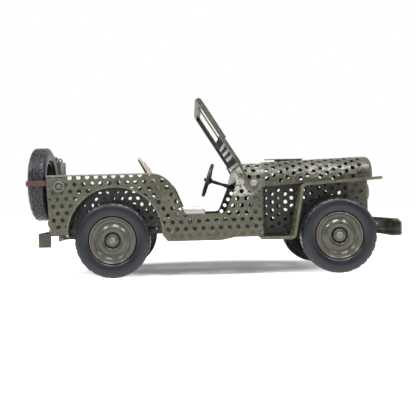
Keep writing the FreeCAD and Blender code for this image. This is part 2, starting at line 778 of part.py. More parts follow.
def frame():
    """Channel rails, crossmembers, leaf springs with pins and shackles, and the bumpers."""
    rail = [
        ("-rail_half_span", "rail_bottom"),
        ("-rail_half_span", "rail_top"),
        ("-rail_half_span + rail_width", "rail_top"),
        ("-rail_half_span + rail_width", "rail_top - rail_wall"),
        ("-rail_half_span + rail_wall", "rail_top - rail_wall"),
        ("-rail_half_span + rail_wall", "rail_bottom + rail_wall"),
        ("-rail_half_span + rail_width", "rail_bottom + rail_wall"),
        ("-rail_half_span + rail_width", "rail_bottom"),
    ]
    nose = "front_axle_x + front_overhang - rail_nose_back"
    tail = "rear_axle_x - rail_tail"
    both_sides("frame_rail", plate("frame_rail", "YZ", rail, tail, f"({nose}) - ({tail})"))
    members = []
    places = {
        "tail": f"{tail} + crossmember_tail_set",
        "rear": "rear_axle_x + crossmember_rear",
        "middle": "rear_axle_x + crossmember_middle",
        "front": "front_axle_x - crossmember_front",
        "nose": "front_axle_x + crossmember_nose",
    }
    side = "rail_half_span - rail_wall - fit"
    for name, x in places.items():
        low = (x, f"-({side})", "rail_bottom + rail_wall + fit")
        high = (f"{x} + crossmember_width", side, "rail_top - rail_wall - fit")
        members.append(box(f"crossmember_{name}", low, high))
    start = (f"{tail} - overcut", "0", "rail_bottom + rail_height / 2")
    hole = rod("tow_hole", "X", "tow_hole_diameter / 2", start, "crossmember_width + 3 * overcut")
    members[0] = cut("crossmember_tail_bored", members[0], hole)
    keep(together("crossmember_group", members), "crossmembers")
    springs()
    face = "front_axle_x + front_overhang"
    top = "bumper_bottom + bumper_height"
    bumper = [
        (f"{face} - bumper_depth", "bumper_bottom"),
        (f"{face} - bumper_chamfer", "bumper_bottom"),
        (face, "bumper_bottom + bumper_chamfer"),
        (face, f"{top} - 2 * bumper_chamfer"),
        (f"{face} - 2 * bumper_chamfer", top),
        (f"{face} - bumper_depth", top),
        (f"{face} - bumper_depth", f"{top} - bumper_wall"),
        (f"{face} - 2 * bumper_chamfer - bumper_fold_inside", f"{top} - bumper_wall"),
        (f"{face} - bumper_wall", f"{top} - 2 * bumper_chamfer - bumper_fold_inside"),
        (f"{face} - bumper_wall", "bumper_bottom + bumper_chamfer + bumper_fold_inside"),
        (f"{face} - bumper_chamfer - bumper_fold_inside", "bumper_bottom + bumper_wall"),
        (f"{face} - bumper_depth", "bumper_bottom + bumper_wall"),
    ]
    keep(plate("bumper_channel", "XZ", bumper, "0", "2 * bumper_half_width", middle=True), "front_bumper")
    back = "rear_axle_x - bumperette_rear"
    strip = [
        (f"{back} + bumper_wall", "-rail_half_span + rail_width"),
        (f"{back} + bumper_wall", "-bumperette_half_width + bumper_wall", "bumperette_bend - bumper_wall"),
        ("rear_axle_x - bumperette_front", "-bumperette_half_width + bumper_wall"),
        ("rear_axle_x - bumperette_front", "-bumperette_half_width"),
        (back, "-bumperette_half_width", "bumperette_bend"),
        (back, "-rail_half_span + rail_width"),
    ]
    bumperette = plate("bumperette", "XY", strip, "bumperette_bottom", "bumperette_height")
    stay = box("bumperette_stay", (f"{back} + bumper_wall", "-rail_half_span", "rail_bottom"),
               (f"{tail} - fit", "-rail_half_span + rail_width", "bumperette_bottom + bumperette_height"))
    both_sides("rear_bumperette", fuse("bumperette_with_stay", [bumperette, stay]))


def leaf_spring(name, front, front_z, rear, rear_z, seat):
    """A cambered leaf through its two eyes and its seat on the axle, with a rolled eye at each end."""
    ends = [(size(front), size(front_z)), (size(seat), size("spring_seat_z")), (size(rear), size(rear_z))]
    y = size("-spring_inner - spring_width")
    points = [FreeCAD.Vector(x, y, z) for x, z in ends]
    line = Part.Wire(Part.Arc(*points).toShape())
    wide = FreeCAD.Vector(0, size("spring_width"), 0)
    half = size("leaf / 2")
    bar = line.makeOffset2D(half, fill=True, openResult=True).extrude(wide)
    bar = bar.fuse(line.makeOffset2D(-half, fill=True, openResult=True).extrude(wide))
    across = FreeCAD.Vector(0, 1, 0)
    for point in (points[0], points[2]):
        bar = bar.fuse(Part.makeCylinder(size("spring_eye_radius"), size("spring_width"), point, across))
    for point in (points[0], points[2]):
        radius = size("spring_pin_diameter / 2 + running_fit")
        bar = bar.cut(Part.makeCylinder(radius, size("spring_width"), point, across))
    return solid_of(name, bar.removeSplitter())


def springs():
    """Four leaf springs outside the rails, hung on pins and, at the rear end, on shackles."""
    rear = {
        "front": ("rear_axle_x + rear_spring_front", "rear_spring_front_z"),
        "rear": ("rear_axle_x - rear_spring_rear", "rear_spring_rear_z"),
    }
    front = {
        "front": ("front_axle_x + front_spring_reach", "front_spring_z"),
        "rear": ("front_axle_x - front_spring_reach", "front_spring_z"),
    }
    for end, hung in (("rear", rear), ("front", front)):
        leaf = leaf_spring(f"{end}_leaf", *hung["front"], *hung["rear"], f"{end}_axle_x")
        pair(f"{end}_springs", leaf)
    pins = []
    pinned = [rear["front"], front["front"], front["rear"]]
    for number, (x, z) in enumerate(pinned):
        pins.append(rod(f"spring_pin_{number}", "Y", "spring_pin_diameter / 2",
                        (x, "-spring_inner - spring_width - fit", z),
                        "spring_inner + spring_width - rail_half_span"))
    outer = "-spring_inner - spring_width - shackle_plate"
    x, z = rear["rear"]
    upper = (f"{x} - shackle_lean", f"{z} + shackle_rise")
    pin_radius = "spring_pin_diameter / 2"
    lower_length = "spring_width + 2 * shackle_plate"
    upper_length = "spring_inner + spring_width + shackle_plate - rail_half_span - fit"
    shackle = [
        rod("shackle_lower_pin", "Y", pin_radius, (x, outer, z), lower_length),
        rod("shackle_upper_pin", "Y", pin_radius, (upper[0], outer, upper[1]), upper_length),
    ]
    lean = "-atan(shackle_lean / shackle_rise)"
    for number, y in enumerate((outer, "-spring_inner + seam_gap")):
        link = document.addObject("Part::Box", f"shackle_link_{number}")
        turn(link, FreeCAD.Vector(0, 1, 0), lean)
        bind(link, Length="shackle_width", Width="shackle_plate - seam_gap")
        bind(link, Height="sqrt(shackle_lean ^ 2 + shackle_rise ^ 2)")
        place(link, f"{x} - shackle_width / 2", y, z)
        shackle.append(link)
    pins.append(fuse("shackle", shackle))
    hung = together("spring_pins_right", pins)
    keep(together("spring_pins_group", [hung, mirrored("spring_pins_other", hung)]), "spring_pins")


def side_outline():
    """The tub side from the tail round the sill and the doorway, without its wheel arch."""
    x = "rear_axle_x"
    return [
        (f"{x} - tub_rear", "tub_top", "tail_round"),
        (f"{x} - tub_rear + tub_rake", "tub_tail_z", "tail_round"),
        (f"{x} + sill_rear - sill_rear_slope", "tub_tail_z"),
        (f"{x} + sill_rear", "sill_bottom", "sill_rear_round"),
        (f"{x} + sill_kick_start", "sill_bottom"),
        (f"{x} + sill_kick_end", "sill_bottom + sill_kick_rise"),
        (f"{x} + cowl_front", "sill_bottom + sill_kick_rise"),
        (f"{x} + cowl_front", "cowl_seam_z"),
        (f"{x} + cowl_seam_x", "cowl_seam_z"),
        (f"{x} + door_front_bottom", "sill_top", "door_round_front"),
        (f"{x} + door_rear_bottom", "sill_top", "door_round_bottom"),
        (f"{x} + door_rear_top", "tub_top", "door_round_top"),
    ]


def arch_disc(name, radius, offset, depth):
    """A round block on the wheel arch's centre."""
    return rod(name, "Y", radius, ("arch_x", offset, "arch_centre_z"), depth)


def side_holes(flat, corner_x):
    """The side's holes: clipped ones on the flat, and those past its front end laid round the corner."""
    outward = LEFT * -1
    wall = wall_facing(flat.Shape, outward)
    first = FreeCAD.Vector(size("rear_axle_x - hole_first_back"), 0, size("tub_top - hole_first_drop"))
    tilt = math.radians(size("hole_tilt"))
    across = FreeCAD.Vector(math.cos(tilt), 0, math.sin(tilt))
    blocks = [block for block in wall_holes(wall, across, first) if block.CenterOfMass.x < corner_x]
    bend = size("corner_round")
    low = size("sill_bottom + sill_kick_rise + hole_margin + hole_diameter / 2")
    high = size("cowl_seam_z - hole_diameter / 2")
    up = FreeCAD.Vector(-math.sin(tilt), 0, math.cos(tilt))
    for spot in hole_spots(first, across, up, wall.BoundBox.DiagonalLength):
        angle = (spot.x - corner_x) / bend
        if 0 <= angle < math.pi / 2 and low < spot.z < high:
            away = FreeCAD.Vector(math.sin(angle), -math.cos(angle), 0)
            centre = FreeCAD.Vector(corner_x, bend - size("body_half_width"), spot.z)
            blocks.append(drill(centre + away * bend, away))
    return blocks


def tub_sides():
    """The perforated sides, each with a rounded front corner, a hem along its free edges and an arch lip."""
    x = "rear_axle_x"
    corner = f"{x} + cowl_front - corner_round"
    panel = plate("side_panel", "XZ", side_outline(), "body_half_width - sheet", "sheet")
    arch = arch_disc("arch_cut", "arch_radius", "-body_half_width - overcut", "sheet + 2 * overcut")
    flat = cut("side_with_arch", panel, arch)
    document.recompute()
    blocks = side_holes(flat, size(corner))
    past = box("past_corner", (corner, "-body_half_width - overcut", "0"),
               (f"{corner} + 2 * corner_round", "-body_half_width + sheet + overcut", "2 * tub_top"))
    short = cut("side_to_corner", flat, past)
    bend = [
        (corner, "-body_half_width"),
        (f"{corner} + corner_round", "-body_half_width", "corner_round - seam_gap"),
        (f"{corner} + corner_round", "-body_half_width + corner_round"),
        (f"{corner} + corner_round - sheet", "-body_half_width + corner_round"),
        (f"{corner} + corner_round - sheet", "-body_half_width + sheet", "corner_round - sheet - seam_gap"),
        (corner, "-body_half_width + sheet"),
    ]
    low = "sill_bottom + sill_kick_rise"
    turn_in = plate("side_corner", "XY", bend, low, f"cowl_seam_z - ({low})")
    side = punch("side_punched", fuse("side_and_corner", [short, turn_in]), blocks)
    edge = [
        (f"{x} - tub_rear + hem", "tub_top - hem / 2"),
        (f"{x} + door_rear_top - hem / 2", "tub_top - hem / 2", "door_round_top"),
        (f"{x} + door_rear_bottom - hem / 2", "sill_top - hem / 2", "door_round_bottom + hem / 2"),
        (f"{x} + door_front_bottom + hem / 2", "sill_top - hem / 2", "door_round_front + hem / 2"),
        (f"{x} + cowl_seam_x + hem / 2", "cowl_seam_z - hem / 2"),
    ]
    hem = bent("side_hem", edge, "hem", "-body_half_width - hem_rise", "sheet + hem_rise - seam_gap")
    ring_outer = arch_disc("arch_ring_outer", "arch_radius + hem_lap", "-body_half_width - hem_rise",
                           "sheet + hem_rise - seam_gap")
    ring_inner = arch_disc("arch_ring_inner", "arch_radius", "-body_half_width - overcut",
                           "sheet + 2 * overcut")
    ring = cut("arch_ring", ring_outer, ring_inner)
    lower = box("arch_ring_below", ("arch_x - 2 * arch_radius", "-body_half_width - overcut", "-arch_radius"),
                ("arch_x + 2 * arch_radius", "-body_half_width + sheet + overcut", "tub_tail_z"))
    both_sides("tub_side", fuse("side_hemmed", [side, hem, cut("arch_lip", ring, lower)]))


def wheelhouses():
    """A perforated drum and its inner wall over each rear wheel, open below the floor."""
    depth = "inner_half_width - wheelhouse_inner"
    shell = arch_disc("house_outer", "arch_radius + sheet", "-inner_half_width", depth)
    hollow = arch_disc("house_inner", "arch_radius", "-inner_half_width - overcut",
                       f"{depth} - sheet + overcut")
    below = box("house_below", ("arch_x - 2 * arch_radius", "-body_half_width", "-arch_radius"),
                ("arch_x + 2 * arch_radius", "-wheelhouse_inner + overcut", "floor_z"))
    house = cut("house_open", cut("house_hollow", shell, hollow), below)
    document.recompute()
    wall = wall_facing(house.Shape, LEFT)
    first = FreeCAD.Vector(size("arch_x"), 0, size("tub_top - hole_first_drop - 2 * hole_row"))
    blocks = wall_holes(wall, FORWARD, first)
    radius = size("arch_radius + sheet")
    step = size("hole_pitch") / radius
    floor_angle = math.asin(size("floor_z + hole_diameter - arch_centre_z") / radius)
    rows = int(size("inner_half_width - wheelhouse_inner - 2 * sheet") / size("hole_row"))
    for row in range(rows):
        y = -size("wheelhouse_inner + 2 * sheet + hole_diameter / 2 + hole_margin") - row * size("hole_row")
        angle = math.pi / 2 + (row % 2) * step / 2
        while angle < math.pi - floor_angle:
            for lean in {angle, math.pi - angle}:
                away = FreeCAD.Vector(math.cos(lean), 0, math.sin(lean))
                centre = FreeCAD.Vector(size("arch_x"), y, size("arch_centre_z"))
                blocks.append(drill(centre + away * radius, away))
            angle += step
    both_sides("wheelhouse", punch("house_punched", house, blocks))


def tub():
    """Sides, rear panel, floor, wheelhouses, firewall, cowl and dash."""
    tub_sides()
    x = "rear_axle_x"
    rear = [
        ("tail_top_x", "tub_top"),
        ("tail_top_x + sheet", "tub_top"),
        ("tail_floor_x + sheet", "floor_z"),
        ("tail_floor_x", "floor_z"),
    ]
    back = plate("rear_sheet", "XZ", rear, "0", "2 * inner_half_width", middle=True)
    keep(punched("rear_punched", back, [FORWARD * -1]), "rear_panel")
    tail = "tail_floor_x + sheet + fit"
    wheelhouse = "arch_radius + sheet + fit"
    floor = []
    for sign, order in (("-", 1), ("", -1)):
        edge = [
            (tail, f"{sign}inner_half_width"),
            (f"arch_x - ({wheelhouse})", f"{sign}inner_half_width"),
            (f"arch_x - ({wheelhouse})", f"{sign}(wheelhouse_inner - fit)"),
            (f"arch_x + {wheelhouse}", f"{sign}(wheelhouse_inner - fit)"),
            (f"arch_x + {wheelhouse}", f"{sign}inner_half_width"),
            ("firewall_x - fit", f"{sign}inner_half_width", "corner_round - sheet - fit"),
        ]
        floor += edge[::order]
    bottom = plate("floor_sheet", "XY", floor, "floor_z", "sheet")
    keep(punched("floor_punched", bottom, [UP]), "floor")
    wheelhouses()
    narrow = "body_half_width - corner_round - fit"
    wall = [
        (f"-({narrow})", "floor_top + fit"),
        (narrow, "floor_top + fit"),
        (narrow, "cowl_seam_z"),
        ("inner_half_width", "cowl_seam_z"),
        ("inner_half_width", "cowl_top - sheet - fit", "cowl_round - sheet - fit"),
        ("-inner_half_width", "cowl_top - sheet - fit", "cowl_round - sheet - fit"),
        ("-inner_half_width", "cowl_seam_z"),
        (f"-({narrow})", "cowl_seam_z"),
    ]
    bulkhead = plate("firewall_sheet", "YZ", wall, "firewall_x", "sheet")
    keep(punched("firewall_punched", bulkhead, [FORWARD]), "firewall")
    cowl()
    tab = "(column_diameter / 2 + column_tab)"
    dash = [
        ("-inner_half_width", "dash_bottom"),
        (f"steering_side - {tab}", "dash_bottom"),
        (f"steering_side - {tab}", "dash_bottom - column_tab_drop", "column_tab"),
        (f"steering_side + {tab}", "dash_bottom - column_tab_drop", "column_tab"),
        (f"steering_side + {tab}", "dash_bottom"),
        ("inner_half_width", "dash_bottom"),
        ("inner_half_width", "cowl_top - sheet - fit", "cowl_round - sheet - fit"),
        ("-inner_half_width", "cowl_top - sheet - fit", "cowl_round - sheet - fit"),
    ]
    board = plate("dash_sheet", "YZ", dash, f"{x} + dash_x", "sheet")
    bore = document.addObject("Part::Cylinder", "column_hole_dash")
    turn(bore, FreeCAD.Vector(0, 1, 0), "90 + steering_slope")
    bind(bore, Radius="column_diameter / 2 + fit", Height="shaft_length")
    place(bore, f"{x} + steering_x", "steering_side", "steering_z")
    keep(cut("dash_bored", board, bore), "dash")


def cowl():
    """The sheet over the driver's feet: an upturned U across the car with raked rear edges."""
    skin = []
    for inset, order in (("0", 1), ("sheet", -1)):
        skin += [
            (f"-body_half_width + {inset}", "cowl_seam_z + seam_gap"),
            (f"-body_half_width + {inset}", f"cowl_top - {inset}", f"cowl_round - {inset}"),
            (f"body_half_width - {inset}", f"cowl_top - {inset}", f"cowl_round - {inset}"),
            (f"body_half_width - {inset}", "cowl_seam_z + seam_gap"),
        ][::order]
    start = "rear_axle_x + cowl_seam_x - lip_reach"
    length = "cowl_front - cowl_seam_x + lip_reach"
    hoop = plate("cowl_hoop", "YZ", skin, start, length)
    side = [
        ("rear_axle_x + cowl_seam_x", "cowl_seam_z"),
        ("rear_axle_x + cowl_front", "cowl_seam_z"),
        ("rear_axle_x + cowl_front", "cowl_top + overcut"),
        ("rear_axle_x + cowl_top_rear", "cowl_top + overcut"),
    ]
    block = plate("cowl_side_shape", "XZ", side, "0", "2 * body_half_width + 2 * overcut", middle=True)
    piece = document.addObject("Part::Common", "cowl_raked")
    piece.Base = hoop
    piece.Tool = block
    document.recompute()
    bare = punch("cowl_punched", piece, cowl_holes())
    rim = []
    for inset, order in (("-hem_rise", 1), ("sheet", -1)):
        rim += [
            (f"-body_half_width + ({inset})", "cowl_seam_z + seam_gap"),
            (f"-body_half_width + ({inset})", f"cowl_top - ({inset})", f"cowl_round - ({inset})"),
            (f"body_half_width - ({inset})", f"cowl_top - ({inset})", f"cowl_round - ({inset})"),
            (f"body_half_width - ({inset})", "cowl_seam_z + seam_gap"),
        ][::order]
    raised = plate("cowl_rim_hoop", "YZ", rim, start, length)
    band = [
        ("rear_axle_x + cowl_seam_x", "cowl_seam_z"),
        ("rear_axle_x + cowl_seam_x + hem_lap", "cowl_seam_z"),
        ("rear_axle_x + cowl_top_rear + hem_lap", "cowl_top + overcut"),
        ("rear_axle_x + cowl_top_rear", "cowl_top + overcut"),
    ]
    lip = document.addObject("Part::Common", "cowl_lip")
    lip.Base = raised
    lip.Tool = plate("cowl_lip_shape", "XZ", band, "0", "2 * body_half_width + 2 * overcut", middle=True)
    keep(fuse("cowl_hemmed", [bare, lip]), "cowl")


def walk(outline, distance):
    """The place at a distance along a chain of edges, and the direction of travel there."""
    edges = list(outline)
    while distance > edges[0].Length and len(edges) > 1:
        distance -= edges.pop(0).Length
    at = edges[0].getParameterByLength(min(distance, edges[0].Length))
    return edges[0].valueAt(at), edges[0].tangentAt(at)


def half_section(x, half, top, bottom, radius):
    """The left half of a rounded section across the car, from its lower edge up to the middle of its top."""
    points = [FreeCAD.Vector(x, y, z) for y, z in ((half, bottom), (half, top), (0, top))]
    start, middle, end = rounded(points, [0, radius, 0], False)[1]
    side = Part.LineSegment(points[0], start)
    across = Part.LineSegment(end, points[2])
    return [line.toShape() for line in (side, Part.Arc(start, middle, end), across)]


def mirror_drills(point, outward):
    """Round blocks through the sheet at a place on the car's left and at the same place on its right."""
    other = FreeCAD.Vector(point.x, -point.y, point.z)
    return [drill(point, outward), drill(other, FreeCAD.Vector(outward.x, -outward.y, outward.z))]


def cowl_holes():
    """The cowl's holes: rows along the car, which carry on from the tub side's rows and go round the top."""
    first = FreeCAD.Vector(size("rear_axle_x - hole_first_back"), size("tub_top - hole_first_drop"), 0)
    tilt = math.radians(size("hole_tilt"))
    across = FreeCAD.Vector(math.cos(tilt), math.sin(tilt), 0)
    seam = size("cowl_seam_z")
    front = size("rear_axle_x + cowl_front")
    section = half_section(0, size("body_half_width"), size("cowl_top"), seam, size("cowl_round"))
    girth = sum(edge.Length for edge in section)
    margin = size("hole_diameter / 2 + hole_margin")
    rake = size("(cowl_top_rear - cowl_seam_x) / (cowl_top + overcut - cowl_seam_z)")
    blocks = []
    up = FreeCAD.Vector(-math.sin(tilt), math.cos(tilt), 0)
    for spot in hole_spots(first, across, up, front - first.x + girth):
        if not margin - size("hole_margin / 2") < spot.y - seam < girth - size("hole_diameter / 2"):
            continue
        point, travel = walk(section, spot.y - seam)
        rear = size("rear_axle_x + cowl_seam_x") + rake * (point.z - seam)
        if rear + margin + size("hem / 2") < spot.x < front - margin:
            point.x = spot.x
            blocks += mirror_drills(point, FORWARD.cross(travel) * -1)
    return blocks


def hood_at(x):
    """Half width, top and bottom of the hood at one place along the car."""
    share = (x - size("hood_rear_x")) / size("hood_front_x - hood_rear_x")
    return [size(f"hood_rear_{name} * (1 - {share}) + hood_front_{name} * {share}")
            for name in ("half_width", "top", "bottom")]


def hood_form(inset):
    """The hood as a block with rounded shoulders and nose, drawn in on all sides but the rear and below."""
    rear = size("hood_rear_x")
    front = size("hood_front_x") - inset
    half, top, bottom = hood_at(rear)
    front_half, front_top, front_bottom = hood_at(front)
    low = (inset - half, rear, bottom, front_bottom, inset - front_half)
    high = (half - inset, front, top - inset, front_top - inset, front_half - inset)
    form = Part.makeWedge(*low, *high)
    form.rotate(FreeCAD.Vector(), UP, -90)
    middle = size("(hood_rear_bottom + hood_rear_top) / 2")
    ridges = [edge for edge in form.Edges if edge.BoundBox.XLength > size("hood_nose_round")
              and edge.BoundBox.ZMin > middle]
    form = form.makeFillet(size("hood_round") - inset, ridges)
    nose = [edge for edge in form.Edges if edge.BoundBox.XMin > front - SAME_PLACE
            and edge.BoundBox.ZMax > size("hood_front_bottom + hole_diameter")]
    return form.makeFillet(size("hood_nose_round") - inset, nose)


def hood_holes(shell):
    """The hood's holes: hoops of them round the hood, and staggered rows in its turned-down front."""
    radius = size("hole_diameter / 2")
    margin = radius + size("hole_margin")
    rear = size("hood_rear_x")
    length = size("hood_front_x - hood_rear_x - hood_nose_round") - 2 * margin
    blocks = []
    for hoop in range(int(length / size("hole_row")) + 1):
        x = rear + margin + hoop * size("hole_row")
        section = half_section(x, *hood_at(x), size("hood_round"))
        girth = sum(edge.Length for edge in section)
        down = hoop % 2 * size("hole_pitch / 2")
        while down < girth - radius - size("hole_margin / 2"):
            point, travel = walk(section, girth - down)
            outward = FORWARD.cross(travel) * -1
            blocks += mirror_drills(point, outward) if down else [drill(point, outward)]
            down += size("hole_pitch")
    face = wall_facing(shell.Shape, FORWARD)
    return blocks + wall_holes(face, LEFT, face.CenterOfMass)


def hood():
    """The hood: a tapering rounded sheet with its front turned down, and the strip on its ridge."""
    shell = solid_of("hood_shell", hood_form(0).cut(hood_form(size("sheet"))))
    keep(punch("hood_punched", shell, hood_holes(shell)), "hood")
    start = "hood_rear_x + hood_strip_start"
    slope = "(hood_front_top - hood_rear_top) / (hood_front_x - hood_rear_x)"
    base = f"hood_rear_top + hood_strip_gap + {slope} * (hood_strip_start + hood_strip_length)"
    strip = box("hood_ridge_strip", (start, "-hood_strip_width / 2", base),
                (f"{start} + hood_strip_length", "hood_strip_width / 2", f"{base} + sheet"))
    keep(strip, "hood_strip")


def engine_bay():
    """Inner side sheets, the grille with its side returns, and the headlamps."""
    top = "hood_rear_bottom + engine_side_rise"
    sides = [
        ("firewall_x + sheet + fit", "engine_side_bottom"),
        ("grille_front_x - grille_return", "engine_side_bottom"),
        ("grille_front_x - grille_return", "hood_front_bottom - engine_side_drop"),
        ("firewall_x + sheet + fit", top),
    ]
    side = plate("engine_side_sheet", "XZ", sides, "engine_side - sheet", "sheet")
    pair("engine_sides", punched("engine_side_punched", side, [LEFT * -1], turned=True))
    plan = [
        ("grille_front_x - grille_return", "-engine_side - sheet - fit"),
        ("grille_front_x", "-engine_side - sheet - fit", "grille_round"),
        ("grille_front_x", "engine_side + sheet + fit", "grille_round"),
        ("grille_front_x - grille_return", "engine_side + sheet + fit"),
        ("grille_front_x - grille_return", "engine_side + fit"),
        ("grille_front_x - sheet", "engine_side + fit", "grille_round - sheet"),
        ("grille_front_x - sheet", "-engine_side - fit", "grille_round - sheet"),
        ("grille_front_x - grille_return", "-engine_side - fit"),
    ]
    front = plate("grille_sheet", "XY", plan, "grille_bottom", "hood_front_bottom - grille_bottom - 3 * fit")
    keep(punched("grille_punched", front, [FORWARD, LEFT, LEFT * -1]), "grille")
    lamp = turned("headlamp_turned", lamp_outline("headlamp_diameter / 2", "headlamp_rise"))
    lamp.Placement.Rotation = FreeCAD.Rotation(UP, -90)
    pair("headlamps", place(lamp, "grille_front_x + seam_gap", "-headlamp_spread", "headlamp_z"))


def lamp_outline(radius, rise):
    """Half the section of a lamp: a bezel round a slightly domed glass, from (radius, 0) outwards."""
    return [
        ("0", "0"),
        (radius, "0"),
        (radius, rise, "lamp_bezel / 2"),
        (f"{radius} - lamp_bezel", rise),
        (f"{radius} - 1.4 * lamp_bezel", f"{rise} - lamp_bezel / 2"),
        (f"({radius}) / 2", f"{rise} + lamp_bezel / 5"),
        ("0", f"{rise} + lamp_bezel / 2"),
    ]


def fender():
    """A bent plate over and behind the front wheel, with a folded outer edge, and its foot under the tub."""
    x = "front_axle_x"
    line = [
        (f"{x} + fender_front", "fender_front_z"),
        (f"{x} + fender_mid", "fender_mid_z"),
        (f"{x} - fender_crest", "fender_crest_z", "fender_round_top"),
        (f"{x} - fender_knee", "fender_knee_z"),
        (f"{x} - fender_heel", "fender_heel_z", "fender_round_bottom"),
        (f"{x} - fender_foot", "fender_foot_z"),
    ]
    width = "body_half_width - engine_side - sheet - 2 * fit"
    bare = bent("fender_skin", line, "sheet", "-body_half_width", width)
    skin = punch("fender_punched", bare, fender_holes(line))
    edge = bent("fender_rim", line, "fender_edge", "-body_half_width", "fender_edge_width")
    both_sides("fender", fuse("fender_whole", [skin, edge]))


def fender_holes(line):
    """The fender's holes: rows across the car on each of its straight runs."""
    points = [FreeCAD.Vector(size(corner[0]), 0, size(corner[1])) for corner in line]
    corners = rounded(points, [size(corner[2]) if len(corner) > 2 else 0 for corner in line], False)
    margin = size("hole_diameter / 2 + hole_margin")
    outer = size("fender_edge_width - body_half_width") + margin
    inner = -size("engine_side + sheet + 2 * fit") - margin
    blocks = []
    for index in range(len(points) - 1):
        start = corners[index][2] if corners[index] else points[index]
        end = corners[index + 1][0] if corners[index + 1] else points[index + 1]
        ahead = end - start
        rows = int((ahead.Length - 2 * size("hole_diameter / 2")) / size("hole_row")) + 1
        spare = (ahead.Length - (rows - 1) * size("hole_row")) / 2
        ahead.normalize()
        outward = ahead.cross(LEFT)
        for row in range(rows):
            y = outer + row % 2 * size("hole_pitch / 2")
            while y <= inner:
                spot = start + ahead * (spare + row * size("hole_row")) + outward * size("sheet / 2")
                spot.y = y
                blocks.append(drill(spot, outward))
                y += size("hole_pitch")
    return blocks


def tilt(item):
    """Put a piece drawn upright at the windscreen's pivot line at its place, leaning back."""
    turn(item, FreeCAD.Vector(0, 1, 0), "-screen_lean")
    return place(item, "screen_x", "0", "pivot_z")


